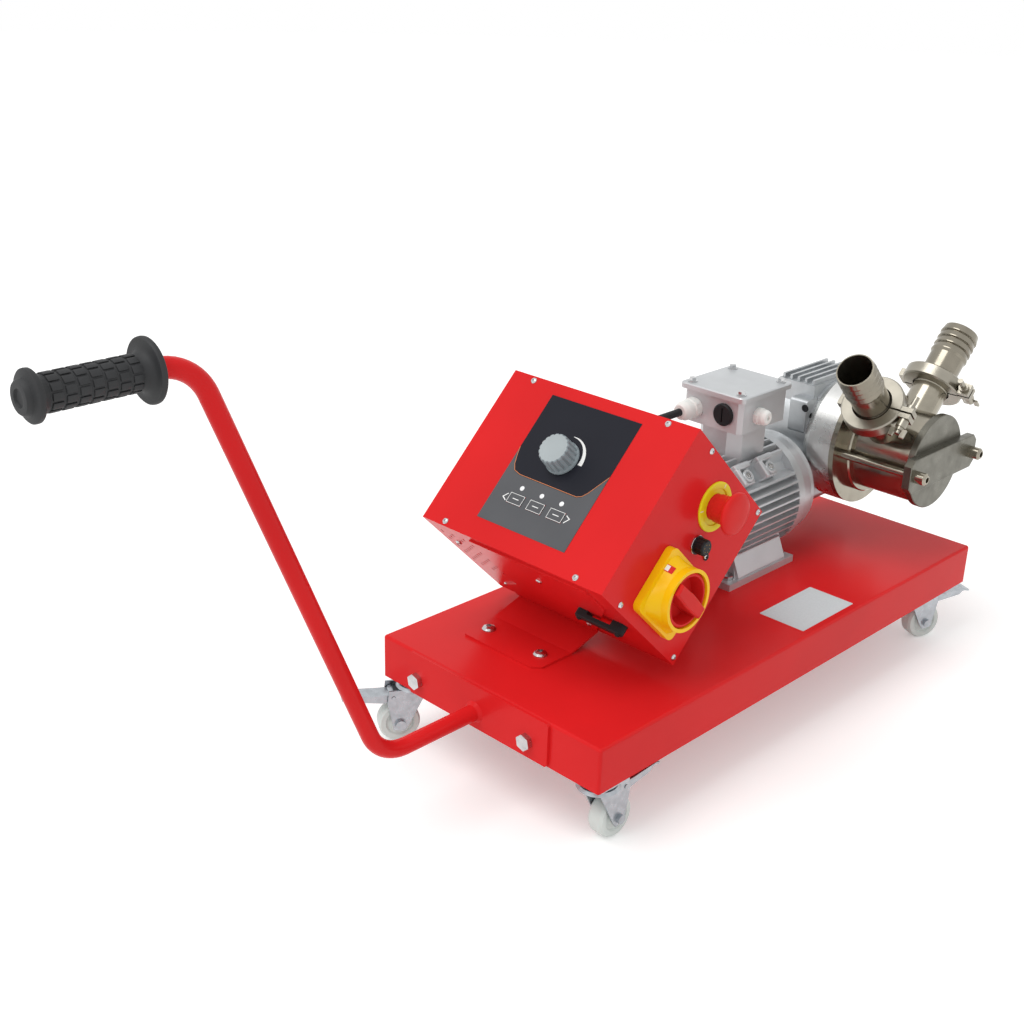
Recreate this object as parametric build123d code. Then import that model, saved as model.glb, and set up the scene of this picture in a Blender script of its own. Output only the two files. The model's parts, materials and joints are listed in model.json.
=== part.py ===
from build123d import *
from math import acos, atan2, copysign, cos, degrees, hypot, pi, radians, sin, tan
import os

# Trolley-mounted rotary lobe pump, millimetres.
# Frame: z = 0 on the floor, x = y = 0 under the middle of the deck, +Z up.
# -Y is the tow-handle end, +X is the side that the pump head faces.

# ---- deck -------------------------------------------------------------
deck_width = 380.0            # along X
deck_length = 850.0           # along Y
skirt_height = 60.0
deck_sheet = 3.0
deck_bend = 4.0               # outside radius of the folded edges
deck_lip = 24.0               # inward flange at the foot of the skirt
caster_height = 92.0          # floor to the foot of the skirt
deck_top = caster_height + skirt_height
front_y = -deck_length / 2

# ---- clearances ---------------------------------------------------------
running_gap = 0.3             # between faces that pass each other
shaft_gap = 0.05              # radial, a shaft in its bore
cover_gap = 0.2               # radial, a bolt in its hole

# ---- tow handle -----------------------------------------------------------
handle_x = -13.0
handle_rise = 522.0           # lower run to upper run, along Z
handle_drop = 37.0            # lower run below the deck's top face
handle_reach_low = 155.0      # deck front to the lower bend's corner
handle_reach_high = 372.0     # deck front to the upper bend's corner
tube_od = 21.3
tube_wall = 2.0
tube_bend = 58.0              # centreline radius of both bends
handle_plate_w = 245.0
handle_plate_h = 59.0
handle_plate_t = 4.0
handle_plate_x = -11.5
handle_bolt_x = (-119.0, 77.0)
handle_bolt_drop = 37.0
m12_af = 19.0
m12_d = 12.0
m12_head = 7.5

# ---- hand grip ------------------------------------------------------------
grip_start = 415.0            # deck front to the guard flange
grip_length = 128.0
grip_body_r = 18.0
grip_guard_r = 31.5
grip_end_r = 24.5
grip_rings = 7

# ---- control box ----------------------------------------------------------
box_tilt = 45.0
box_left = -166.0
box_width = 304.0
box_face = 229.0              # height of the sloping front
box_depth = 205.0
box_edge_y = 47.0             # deck front to the lower edge of the front
box_clear = 17.043            # deck top to the case's lowest edge
box_edge_z = box_depth * sin(radians(box_tilt)) + box_clear   # deck top to the front's lower edge
box_sheet = 2.0
box_flange = 12.0             # return flanges that the covers screw to
screw_head_r = 4.2
screw_head_h = 2.4
screw_r = 2.0
front_screw_x = (box_left + 38.0, box_left + box_width - 44.5)
front_screw_u = (6.5, box_face - 6.5)
side_screw_u = (7.5, box_face - 6.0)
side_screw_w = (42.0, box_depth - 8.5)
under_screws = ((-138.0, 53.0, 0.0), (-133.0, 174.0, 0.0), (5.0, 57.0, 3.0), (19.0, 173.0, 3.0))
vent_x, vent_w = -153.0, 26.0    # first ventilation slot on the underside
vent_pitch = 10.0
vent_rows, vent_count = 7, 5
panel_x0, panel_x1 = -87.0, 60.5
panel_u0, panel_u1 = 28.5, 212.0
panel_t = 0.6

# ---- bracket under the box ------------------------------------------------
bracket_t = 3.0
bracket_x0, bracket_x1 = -126.0, 14.0
bracket_right, bracket_left = 108.0, -86.0   # upper flange's edges near the front
bracket_y0, bracket_y1 = 77.0, 141.0
bracket_bolt_x = (-104.0, -10.0)
bracket_bolt_y = 109.0
button_r = 9.5
button_h = 5.5
button_bolt_r = 5.0

# ---- controls on the box --------------------------------------------------
knob_x, knob_u = -17.0, 137.0
knob_r, knob_base_r, knob_h = 19.0, 21.5, 25.0
knob_flutes = 18
knob_spindle_r = 3.0
key_u = 66.5
key_x = (-46.8, -13.4, 20.6)
key_w, key_h = 24.0, 14.0
key_travel = 0.5
estop_u, estop_w = 180.5, 106.0
estop_ring_r = 32.0
estop_ring_t = 2.5
estop_stem_r = 15.0
estop_cap_r = 27.0
estop_stand = 32.0            # cover to the mushroom's front
estop_travel = 6.0
estop_hole_r = 11.0
iso_u, iso_w = 60.0, 110.0
iso_base_u0, iso_base_u1 = 15.0, 104.0
iso_base_w0, iso_base_w1 = 62.0, 158.0
iso_base_t = 10.0
iso_collar_r = 40.0
iso_collar_in = 35.5
iso_stand = 34.0              # cover to the collar's rim
iso_knob_r = 34.5
iso_handle_w = 15.0
iso_spindle_r = 5.0
socket_u, socket_w = 130.0, 114.5
socket_r, socket_h = 10.5, 16.0
ring_u, ring_w = 128.5, 145.0    # ring and screw of the socket cap's tether
ring_screw_r = 1.5
bridge_x0, bridge_x1 = 42.0, 118.0
bridge_w = 106.0              # depth at which it sits on the box's underside
bridge_h, bridge_wide = 11.0, 14.0
bridge_screw_x = (bridge_x0 + 7.0, bridge_x1 - 7.0)

# ---- motor ------------------------------------------------------------------
motor_x = -48.0
motor_axis = 90.0             # shaft height above the deck
motor_y0 = 366.0              # fan cover's end, from the deck's front
motor_body_end = 600.0
shield_end = 646.0
fan_cover_len = 64.0
fan_end = motor_y0 + fan_cover_len
motor_core_r = 74.0
motor_fin_r = 88.0
fin_t = 2.6
fin_pitch = 11.5
fin_side = 4                  # fins each side of the middle one
motor_wall = 8.0
stator_bore_r = 42.0
rotor_air = 0.6
rotor_y0, rotor_len = 462.0, 120.0
motor_shaft_r = 11.0
fan_r = 68.0
neck_wide, neck_long = 74.0, 86.0
boss_y = (492.0, 540.0)
boss_angle = 46.0
boss_r, boss_out = 11.0, 90.0
fan_cover_r = 86.0
shield_r = 80.0
foot_y0, foot_y1 = 442.0, 597.0
foot_half = 87.0
foot_t = 10.0
foot_hole_x = 70.0
foot_hole_y = 125.0
m10_af = 16.0
m10_d = 10.0
m10_head = 6.4
term_x0, term_x1 = -101.0, 10.0
term_y0, term_y1 = 475.0, 595.0
term_top = 270.0
term_lid_t = 8.0
term_height = 47.0
term_inset = 5.0
term_wall = 4.0
lid_screw_r = 2.5
plug_x, plug_z = -24.0, 239.0
plug_r, plug_thread_r = 16.0, 9.0
small_gland_y = 520.0
small_thread_r = 6.0
cable_bend = 40.0
gland_x = -76.0
gland_z = 236.0
gland_r = 15.0
gland_len = 33.0
gland_thread_r = 8.0
small_gland_r = 12.0
small_gland_len = 30.0
cable_d = 11.0
box_gland_w = 189.0           # depth along the box's rear top face

# ---- worm gearbox -----------------------------------------------------------
centre_distance = 63.0        # worm axis to wheel axis
pump_y = 755.0                # pump axis, from the deck's front
pump_z = motor_axis + centre_distance
gear_half = 36.0              # half the case's width along X
case_r = 82.0
case_wall = 8.0
worm_r = 13.0
worm_teeth = 1
wheel_teeth = 30
wheel_r = centre_distance - worm_r + 2.0
wheel_width = 28.0
output_r = 14.0               # output shaft
case_y0, case_y1 = 675.0, 836.0
worm_house = 45.0             # half the worm housing's height
worm_wall = 14.0
worm_len = 64.0
wheel_tip_r = wheel_r - 3.0
input_flange_r = 68.0

# ---- pump head --------------------------------------------------------------
pump_x0 = motor_x + gear_half          # rear face of the gear drum
drum_r = 94.0
drum_rear_len = 22.0
drum_front_len = 30.0
flange_t = 8.0
flange_r = 95.0
hub_r = 74.0
hub_len = 14.0
body_r = 66.0
chamber_len = 90.0
cover_t = 10.0
cover_r = 70.0
bar_half = 93.0
bar_height = 51.0
bar_t = 12.0
rod_y = 78.0
rod_r = 6.0
cap_nut_r = 9.0
cap_nut_len = 18.0
rotor_pitch = 25.0            # rotor pitch radius, half the shaft distance
rotor_lobes = 3
rotor_gap = 0.25              # clearance all round a rotor
rotor_tip_r = rotor_pitch * (1 + 1 / rotor_lobes)
rotor_turn = {"drive": 90.0, "driven": 150.0}
pump_shaft_r = 8.0
rotor_nut_r = 13.0
rotor_nut_len = 9.0
pinion_r = 7.5                # pitch radius on the gearbox output
drive_gear_r = rotor_pitch - pinion_r
gear_width = 11.0
gear_module = 5 / 3
pinion_teeth = 9
tooth_thin = 0.3              # taken off each tooth at the pitch circle
tooth_tip, tooth_root = 0.9, 1.7   # beyond and inside the pitch circle
pinion_neck_r = 6.0
drum_wall = 8.0
drum_bore_r = 80.0
pinion_x0 = pump_x0 + drum_wall + 2.0
timing_x0 = pinion_x0 + gear_width + 5.0
flange_x0 = pump_x0 + drum_rear_len + drum_front_len
chamber_x0 = flange_x0 + flange_t + hub_len
cover_x0 = chamber_x0 + chamber_len
seal_r, seal_len = 14.0, 9.0
port_angle = 44.0             # each side of vertical
port_x_offset = 35.0          # port axis in front of the chamber's rear wall
port_x = chamber_x0 + port_x_offset
port_in_r = 24.0
port_out_r = 26.5
ferrule_r = 32.0
ferrule_t = 6.4
gasket_t = 1.6
ferrule_dist = 120.0          # pump axis to the clamped joint
tail_end = 213.0              # pump axis to the hose tail's mouth
barb_r = 28.5
barbs = 4
barb_pitch = 11.0
clamp_r = 46.0
clamp_half_w = 10.0
clamp_gap = 3.0
ear_reach = 58.0
swing_bolt_r = 4.0
ear_x = 53.0                  # swing bolt's axis from the port's
ear_t = 7.0
bolt_len = 62.0

# ---- casters ----------------------------------------------------------------
front_caster_x, front_caster_y = deck_width / 2 - 28.0, 32.0 - deck_length / 2
rear_caster_x, rear_caster_y = deck_width / 2 - 50.0, deck_length / 2 - 68.0
caster_place = {"front_right": (front_caster_x, front_caster_y), "front_left": (-front_caster_x, front_caster_y),
                "rear_right": (rear_caster_x, rear_caster_y), "rear_left": (-rear_caster_x, rear_caster_y)}
wheel_d = 56.0
wheel_w = 23.0
caster_plate = 54.0
caster_plate_t = 2.5
race_r = 24.0
crown_r = 27.0
crown_top = caster_height - 9.4
crown_bottom = caster_height - 15.0
fork_t = 2.5
fork_half = 13.5              # inner face of a fork arm from the wheel's middle
trail = 24.0
axle_r = 4.0
kingpin_r = 6.0
pedal_pivot_s, pedal_pivot_z = 33.0, caster_height - 23.0
pedal_len = 68.0
pedal_w = 24.0
pedal_pin_r = 2.5
pedal_cheek_t = 2.0
caster_turn = {"front_right": 90.0, "front_left": -120.0, "rear_right": 66.0, "rear_left": 75.0}


# =========================== helpers ==========================================
def at_deck(x, y, z):
    """A point given from the deck's middle, its front edge and its top face."""
    return (x, front_y + y, deck_top + z)


def rod(radius, length, start, direction):
    """A solid cylinder from a point along a direction."""
    return Plane(origin=start, z_dir=direction) * Cylinder(
        radius, length, align=(Align.CENTER, Align.CENTER, Align.MIN))


def tube(outer, inner, length, start, direction):
    """A plain ring or pipe from a point along a direction."""
    return rod(outer, length, start, direction) - rod(inner, length, start, direction)


def slab(x0, x1, y0, y1, z0, z1):
    """A box between two corners."""
    return Pos((x0 + x1) / 2, (y0 + y1) / 2, (z0 + z1) / 2) * Box(x1 - x0, y1 - y0, z1 - z0)


def turned(points, start, direction):
    """A turned piece: (radius, distance) pairs revolved about a line through start."""
    outline = Plane.XZ * Polyline(*[(r, s) for r, s in points], close=True)
    body = revolve(make_face(outline), Axis.Z, 360)
    return Plane(origin=start, z_dir=direction) * body


def hexagon(across_flats, length, start, direction, turn=0.0):
    """A hexagon bar from a point along a direction."""
    plane = Plane(origin=start, z_dir=direction)
    return plane * (Rot(0, 0, turn) * extrude(RegularPolygon(across_flats / 2, 6, major_radius=False), length))


def hex_bolt(across_flats, shank_d, head, length, seat, direction, turn=0.0):
    """A hexagon bolt whose head stands on seat and whose shank goes the other way."""
    head_solid = hexagon(across_flats, head, seat, direction, turn)
    head_solid = head_solid & rod(across_flats * 0.56, head, seat, direction)
    return head_solid + rod(shank_d / 2, length, seat, opposite(direction))


def opposite(direction):
    """The reversed direction."""
    return (-direction[0], -direction[1], -direction[2])


def button_screw(head_r, head_h, shank_r, length, seat, direction):
    """A button-head screw with a hexagon socket."""
    dome = turned(
        [(0, 0), (head_r, 0), (head_r, head_h * 0.25), (head_r * 0.8, head_h * 0.7),
         (head_r * 0.45, head_h), (0, head_h)], seat, direction)
    out = Vector(*direction).normalized()
    top = Vector(*seat) + out * head_h
    dome -= hexagon(head_r * 0.62, head_h * 0.6, tuple(top), opposite(direction))
    return dome + rod(shank_r, length, seat, opposite(direction))


def export(shape, name):
    """Write one node, made of one or more separate solids."""
    solids = shape if isinstance(shape, (list, tuple)) else [shape]
    flat = [s for piece in solids for s in piece.solids()]
    export_step(flat[0] if len(flat) == 1 else Compound(children=flat), f"parts/{name}.step")


# =========================== control box frame =================================
box_origin = at_deck(0, box_edge_y, box_edge_z)
face_up = (0, sin(radians(box_tilt)), cos(radians(box_tilt)))
face_out = (0, -cos(radians(box_tilt)), sin(radians(box_tilt)))
# local x along the box's width, y up the sloping front, z out of the front
box_plane = Plane(origin=box_origin, x_dir=(1, 0, 0), z_dir=face_out)
box_right = box_left + box_width
side_plane_x = box_right


def on_side(u, w, out=0.0):
    """A point on the right side cover: u up the front, w behind it, out of the cover."""
    p = box_plane.from_local_coords((side_plane_x + out, u, -w))
    return (p.X, p.Y, p.Z)


def on_face(x, u, out=0.0):
    """A point on the sloping front cover."""
    p = box_plane.from_local_coords((x, u, out))
    return (p.X, p.Y, p.Z)


def on_under(x, w, out=0.0):
    """A point on the box's underside, w behind the front."""
    p = box_plane.from_local_coords((x, -out, -w))
    return (p.X, p.Y, p.Z)


under_out = (0, -sin(radians(box_tilt)), -cos(radians(box_tilt)))


# =========================== deck and handle ===================================
def make_deck_tray():
    """Folded sheet tray, open underneath, with a lip and corner gussets for the casters."""
    outer = Pos(0, 0, caster_height) * Box(
        deck_width, deck_length, skirt_height, align=(Align.CENTER, Align.CENTER, Align.MIN))
    folded = outer.edges().filter_by(Axis.Z) + outer.faces().sort_by(Axis.Z)[-1].edges()
    outer = fillet(folded, deck_bend)
    inside = (deck_width - 2 * deck_sheet, deck_length - 2 * deck_sheet)
    hollow = Pos(0, 0, caster_height + deck_sheet) * Box(
        *inside, skirt_height - 2 * deck_sheet, align=(Align.CENTER, Align.CENTER, Align.MIN))
    opening = Pos(0, 0, caster_height - 1) * Box(
        inside[0] - 2 * deck_lip, inside[1] - 2 * deck_lip, deck_sheet + 2,
        align=(Align.CENTER, Align.CENTER, Align.MIN))
    tray = outer - hollow - opening
    for cx, cy in caster_place.values():
        sx, sy = copysign(1, cx), copysign(1, cy)
        x1 = sx * (deck_width / 2 - deck_sheet)
        y1 = sy * (deck_length / 2 - deck_sheet)
        x0, y0 = cx - sx * (caster_plate / 2 + 3), cy - sy * (caster_plate / 2 + 3)
        tray += slab(min(x0, x1), max(x0, x1), min(y0, y1), max(y0, y1),
                     caster_height, caster_height + deck_sheet)
    holes = []
    for x in handle_bolt_x:
        holes.append(rod(m12_d / 2 + cover_gap, 20, at_deck(x, -10, -handle_bolt_drop), (0, 1, 0)))
    for x in bracket_bolt_x:
        holes.append(rod(button_bolt_r + cover_gap, 12, at_deck(x, bracket_bolt_y, -8), (0, 0, 1)))
    for x, y in foot_holes():
        holes.append(rod(m10_d / 2 + cover_gap, 12, at_deck(x, y, -8), (0, 0, 1)))
    for hole in holes:
        tray -= hole
    return tray


def foot_holes():
    """Motor foot bolts: x, and y from the deck's front."""
    middle = (foot_y0 + foot_y1) / 2
    return [(motor_x + sx * foot_hole_x, middle + sy * foot_hole_y / 2)
            for sx in (-1, 1) for sy in (-1, 1)]


def make_handle_plate():
    """Flat plate bolted to the front skirt; the tow tube is welded to it."""
    x0 = handle_plate_x - handle_plate_w / 2
    plate = slab(x0, x0 + handle_plate_w, front_y - handle_plate_t, front_y,
                 deck_top - handle_plate_h, deck_top)
    plate = chamfer(plate.edges().filter_by(Axis.Y), 3.0)
    for x in handle_bolt_x:
        plate -= rod(m12_d / 2 + cover_gap, 20, at_deck(x, -12, -handle_bolt_drop), (0, 1, 0))
    weld = turned([(0, 0), (tube_od / 2 + 4, 0), (tube_od / 2, 4), (0, 4)],
                  at_deck(handle_x, -handle_plate_t, -handle_drop), (0, -1, 0))
    bore = rod(tube_od / 2, 5, at_deck(handle_x, -handle_plate_t, -handle_drop), (0, -1, 0))
    return plate + (weld - bore)


def handle_path():
    """Centreline of the tow tube, in the plane x = handle_x."""
    points = [
        at_deck(handle_x, -handle_plate_t, -handle_drop),
        at_deck(handle_x, -handle_reach_low, -handle_drop),
        at_deck(handle_x, -handle_reach_high, -handle_drop + handle_rise),
        at_deck(handle_x, -(grip_start + grip_length - 12), -handle_drop + handle_rise),
    ]
    return FilletPolyline(*points, radius=tube_bend)


def make_handle_tube():
    """Bent steel tube from the front plate up to the grip."""
    path = handle_path()
    section = Plane(origin=path @ 0, z_dir=path % 0) * (Circle(tube_od / 2) - Circle(tube_od / 2 - tube_wall))
    return sweep(section, path)


def make_handle_grip():
    """Moulded rubber grip: guard flange, ribbed body and end flange over a blind bore."""
    bore = tube_od / 2 + shaft_gap
    outline = [(bore, 0), (20, 0), (22, 2), (grip_guard_r - 1, 2.5), (grip_guard_r, 5), (grip_guard_r - 1, 8),
               (19, 9.5), (16.5, 13)]
    body0, body1 = 17.0, grip_length - 22.0
    pitch = (body1 - body0) / grip_rings
    for i in range(grip_rings):
        start = body0 + i * pitch
        outline += [(grip_body_r - 1.4, start), (grip_body_r, start + 1.2), (grip_body_r, start + pitch - 2.0),
                    (grip_body_r - 1.4, start + pitch - 0.8)]
    outline += [(16.2, body1 + 3), (18, body1 + 7), (grip_end_r - 1, body1 + 8.5), (grip_end_r, body1 + 11.5),
                (grip_end_r - 1.5, body1 + 15), (18, body1 + 17), (15, grip_length), (9, grip_length),
                (8, grip_length - 2.5), (0, grip_length - 2.5)]
    outline += [(0, grip_length - 11.5), (bore, grip_length - 11.5)]
    start = at_deck(handle_x, -grip_start, -handle_drop + handle_rise)
    return turned(outline, start, (0, -1, 0))


def make_hex_bolts():
    """Handle-plate bolts with inside nuts, and the motor's foot bolts with nuts."""
    pieces = []
    grip = handle_plate_t + deck_sheet
    for x in handle_bolt_x:
        seat = at_deck(x, -handle_plate_t, -handle_bolt_drop)
        inner = at_deck(x, deck_sheet, -handle_bolt_drop)
        pieces.append(hex_bolt(m12_af, m12_d, m12_head, grip + 14, seat, (0, -1, 0), 12))
        nut = hexagon(m12_af, 9, inner, (0, 1, 0)) - rod(m12_d / 2, 10, inner, (0, 1, 0))
        pieces.append(nut)
    for x, y in foot_holes():
        seat = at_deck(x, y, foot_t)
        inner = at_deck(x, y, -deck_sheet)
        pieces.append(hex_bolt(m10_af, m10_d, m10_head, foot_t + deck_sheet + 12, seat, (0, 0, 1), 20))
        pieces.append(hexagon(m10_af, 8, inner, (0, 0, -1)) - rod(m10_d / 2, 9, inner, (0, 0, -1)))
    return pieces


# =========================== bracket and control box ============================
def make_box_bracket():
    """Bent plate: foot on the deck, slope up to the box's lowest edge, flange under the box."""
    foot = slab(bracket_x0, bracket_x1, front_y + bracket_y0, front_y + bracket_y1,
                deck_top, deck_top + bracket_t)
    foot = chamfer(foot.edges().filter_by(Axis.Z).sort_by(Axis.Y)[:2], 10.0)
    low = on_under(0, box_depth, bracket_t)
    start_y, start_z = front_y + bracket_y1, deck_top
    slope_angle = degrees(atan2(low[2] - start_z, low[1] - start_y))
    slope_len = hypot(low[1] - start_y, low[2] - start_z)
    slope = Pos((bracket_x0 + bracket_x1) / 2, start_y, start_z) * Rot(slope_angle, 0, 0) * Box(
        bracket_x1 - bracket_x0, slope_len, bracket_t, align=(Align.CENTER, Align.MIN, Align.MIN))
    hinge_fill = rod(bracket_t * 0.5, bracket_x1 - bracket_x0,
                     (bracket_x0, low[1], low[2] + bracket_t * 0.3), (1, 0, 0))
    outline = [(bracket_x0, box_depth), (bracket_x1, box_depth), (bracket_x1 + 16, box_depth - 27), (bracket_right, box_depth - 143),
               (bracket_right, 10), (bracket_left, 10), (bracket_left, box_depth - 70), (bracket_x0, box_depth - 40)]
    # local y of this plane runs towards the front, against the depth w
    under_plane = Plane(origin=on_under(0, 0), x_dir=(1, 0, 0), z_dir=under_out)
    flange = under_plane * extrude(make_face(Polyline(*[(x, -w) for x, w in outline], close=True)), bracket_t)
    bracket = foot + slope + hinge_fill + flange
    for x in bracket_bolt_x:
        bracket -= rod(button_bolt_r + cover_gap, 12, at_deck(x, bracket_bolt_y, -4), (0, 0, 1))
    for x, w, out in under_screws:
        bracket -= rod(screw_r + cover_gap, 12, on_under(x, w, 6), face_up)
    for x in bridge_screw_x:
        bracket -= rod(screw_r + cover_gap, 12, on_under(x, bridge_w, 6), face_up)
    return bracket


def make_bracket_bolts():
    """Button-head bolts that hold the bracket to the deck."""
    return [button_screw(button_r, button_h, button_bolt_r, bracket_t + deck_sheet + 10,
                         at_deck(x, bracket_bolt_y, bracket_t), (0, 0, 1)) for x in bracket_bolt_x]


def box_block(x0, x1, u0, u1, w0, w1):
    """A block in the box's own frame, between depths w0 and w1 behind the front."""
    return box_plane * slab(x0, x1, u0, u1, -w1, -w0)


def make_enclosure_body():
    """Sheet case of the control box, open at the front and at the right side."""
    right = box_right - box_sheet
    body = box_block(box_left, right, 0, box_face, box_sheet, box_depth)
    body -= box_block(box_left + box_sheet, right - box_sheet, box_sheet, box_face - box_sheet,
                      2 * box_sheet, box_depth - box_sheet)
    f = box_flange
    body -= box_block(box_left + f, right - f, f, box_face - f, 0, 3 * box_sheet)
    body -= box_block(right - 3 * box_sheet, right + 1, f, box_face - f, f, box_depth - f)
    for i in range(vent_rows):
        for j in range(vent_count):
            x = vent_x + vent_pitch * i
            w = vent_w + 2 * vent_pitch * j + (vent_pitch if i % 2 else 0)
            body -= box_block(x, x + 3, -1, box_sheet + 1, w, w + 7)
    for place, direction in cover_screws():
        body -= rod(screw_r + cover_gap, 14, place, opposite(direction))
    for x in bridge_screw_x:
        body -= rod(screw_r + cover_gap, 12, on_under(x, bridge_w, 6), face_up)
    body -= rod(gland_thread_r + cover_gap, 12, on_top_face(gland_x, box_gland_w, 5), under_out)
    return body


def on_top_face(x, w, out=0.0):
    """A point on the box's rear top face, w behind the front."""
    p = box_plane.from_local_coords((x, box_face + out, -w))
    return (p.X, p.Y, p.Z)


def cover_screws():
    """Seat and outward direction of every small screw of the control box."""
    places = [(on_face(x, u), face_out) for x in front_screw_x for u in front_screw_u]
    places += [(on_side(u, w), (1, 0, 0)) for u in side_screw_u for w in side_screw_w]
    places += [(on_under(x, w, out), under_out) for x, w, out in under_screws]
    return places


def make_enclosure_front():
    """Front cover, with holes for the screws and the speed spindle."""
    cover = box_block(box_left, box_right, 0, box_face, 0, box_sheet)
    cover -= rod(knob_spindle_r + 1.0, 8, on_face(knob_x, knob_u, 3), opposite(face_out))
    for place, direction in cover_screws()[:4]:
        cover -= rod(screw_r + cover_gap, 8, tuple(Vector(*place) + Vector(*direction) * 3),
                     opposite(direction))
    return cover


def make_enclosure_side():
    """Right side cover, with holes for the screws and the four fittings."""
    cover = box_block(box_right - box_sheet, box_right, 0, box_face, box_sheet, box_depth)
    for u, w, r in ((estop_u, estop_w, estop_hole_r), (iso_u, iso_w, iso_spindle_r + 1.0),
                    (socket_u, socket_w, socket_r - 2.0)):
        cover -= rod(r, 10, on_side(u, w, -6), (1, 0, 0))
    cover -= rod(ring_screw_r + cover_gap, 10, on_side(ring_u, ring_w, -6), (1, 0, 0))
    for place, direction in cover_screws()[4:8]:
        cover -= rod(screw_r + cover_gap, 8, tuple(Vector(*place) + Vector(*direction) * 3),
                     opposite(direction))
    return cover


def make_enclosure_screws():
    """All small button-head screws of the control box."""
    return [button_screw(screw_head_r, screw_head_h, screw_r, 8, place, direction)
            for place, direction in cover_screws()]


def panel_outline(grow=0.0):
    """Block of the front foil, grown all round by grow."""
    return (panel_x0 - grow, panel_x1 + grow, panel_u0 - grow, panel_u1 + grow)


def make_panel_overlay():
    """Front foil with windows for the three keys and the speed spindle."""
    x0, x1, u0, u1 = panel_outline()
    foil = box_plane * slab(x0, x1, u0, u1, 0, panel_t)
    foil -= rod(knob_spindle_r + 1.0, 3, on_face(knob_x, knob_u, -1), face_out)
    for x in key_x:
        foil -= box_plane * slab(x - key_w / 2 - running_gap, x + key_w / 2 + running_gap,
                                 key_u - key_h / 2 - running_gap, key_u + key_h / 2 + running_gap, -1, 2)
    return foil


def make_key(i):
    """One foil key; it sinks by the key travel."""
    x = key_x[i]
    key = box_plane * slab(x - key_w / 2, x + key_w / 2, key_u - key_h / 2, key_u + key_h / 2,
                           key_travel + 0.05, panel_t + key_travel + 0.3)
    return chamfer(key.edges().filter_by(lambda e: abs((e % 0).dot(Vector(*face_out))) > 0.99), 1.5)


def make_speed_knob():
    """Fluted knob on its spindle."""
    start = panel_t + running_gap
    cone = turned([(0, 0), (knob_base_r, 0), (knob_base_r, 2.5), (knob_base_r - 1, 3.5),
                   (knob_r, knob_h - start - 1.2), (knob_r - 1.2, knob_h - start), (0, knob_h - start)],
                  on_face(knob_x, knob_u, start), face_out)
    for i in range(knob_flutes):
        a = 2 * pi * i / knob_flutes
        foot = on_face(knob_x + (knob_base_r + 1.1) * cos(a), knob_u + (knob_base_r + 1.1) * sin(a), 4.0)
        head = on_face(knob_x + (knob_r + 0.9) * cos(a), knob_u + (knob_r + 0.9) * sin(a), knob_h + 1)
        cone -= rod(1.6, knob_h, foot, tuple(Vector(*head) - Vector(*foot)))
    spindle = rod(knob_spindle_r, 14 + start, on_face(knob_x, knob_u, -14), face_out)
    return cone + spindle


def make_estop_base():
    """Yellow backing ring and the fixed collar with its rear nut."""
    ring = tube(estop_ring_r, estop_stem_r + 2.5, estop_ring_t, on_side(estop_u, estop_w), (1, 0, 0))
    collar = tube(estop_stem_r + 4.5, estop_stem_r + running_gap, 6, on_side(estop_u, estop_w, estop_ring_t),
                  (1, 0, 0))
    lip = tube(estop_stem_r + 2.5, 7.0 + running_gap, estop_ring_t, on_side(estop_u, estop_w), (1, 0, 0))
    neck = tube(estop_hole_r - cover_gap, 7.0 + running_gap, 16, on_side(estop_u, estop_w, -16), (1, 0, 0))
    nut = tube(estop_hole_r + 5, estop_hole_r - cover_gap, 5, on_side(estop_u, estop_w, -box_sheet - 5), (1, 0, 0))
    return ring + collar + lip + neck + nut


def make_estop_button():
    """Mushroom button: domed cap, flared neck and plunger."""
    s0 = estop_ring_t + running_gap + estop_travel
    s1 = estop_stand
    return turned([(0, -20), (7, -20), (7, s0), (estop_stem_r, s0), (estop_stem_r, s1 - 15),
                   (estop_stem_r + 2, s1 - 12), (estop_cap_r - 1.5, s1 - 8), (estop_cap_r, s1 - 6),
                   (estop_cap_r - 0.6, s1 - 4), (estop_cap_r * 0.72, s1 - 1.2), (estop_cap_r * 0.4, s1 - 0.3),
                   (0, s1)], on_side(estop_u, estop_w), (1, 0, 0))


def make_isolator_body():
    """Isolator housing: rounded base plate, tapering block and round collar."""
    side = Plane(origin=on_side(0, 0), x_dir=face_up, z_dir=(1, 0, 0))
    # local x runs up the cover, local y towards the front, against the depth w
    base = RectangleRounded(iso_base_u1 - iso_base_u0, iso_base_w1 - iso_base_w0, 10.0)
    middle_u = (iso_base_u0 + iso_base_u1) / 2
    middle_w = (iso_base_w0 + iso_base_w1) / 2
    plate = extrude(Pos(middle_u, -middle_w) * base, iso_base_t)
    rim = loft([
        Pos(middle_u, -middle_w, iso_base_t) * RectangleRounded(
            iso_base_u1 - iso_base_u0 - 8, iso_base_w1 - iso_base_w0 - 12, 16.0),
        Pos(iso_u, -iso_w, iso_stand - 10) * Circle(iso_collar_r)])
    collar = Pos(iso_u, -iso_w, iso_stand - 10) * Cylinder(
        iso_collar_r, 10, align=(Align.CENTER, Align.CENTER, Align.MIN))
    well = Pos(iso_u, -iso_w, iso_base_t - 2) * Cylinder(
        iso_collar_in, iso_stand, align=(Align.CENTER, Align.CENTER, Align.MIN))
    bore = Pos(iso_u, -iso_w, -1) * Cylinder(
        iso_spindle_r + running_gap, iso_stand, align=(Align.CENTER, Align.CENTER, Align.MIN))
    return side * (plate + rim + collar - well - bore)


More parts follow.
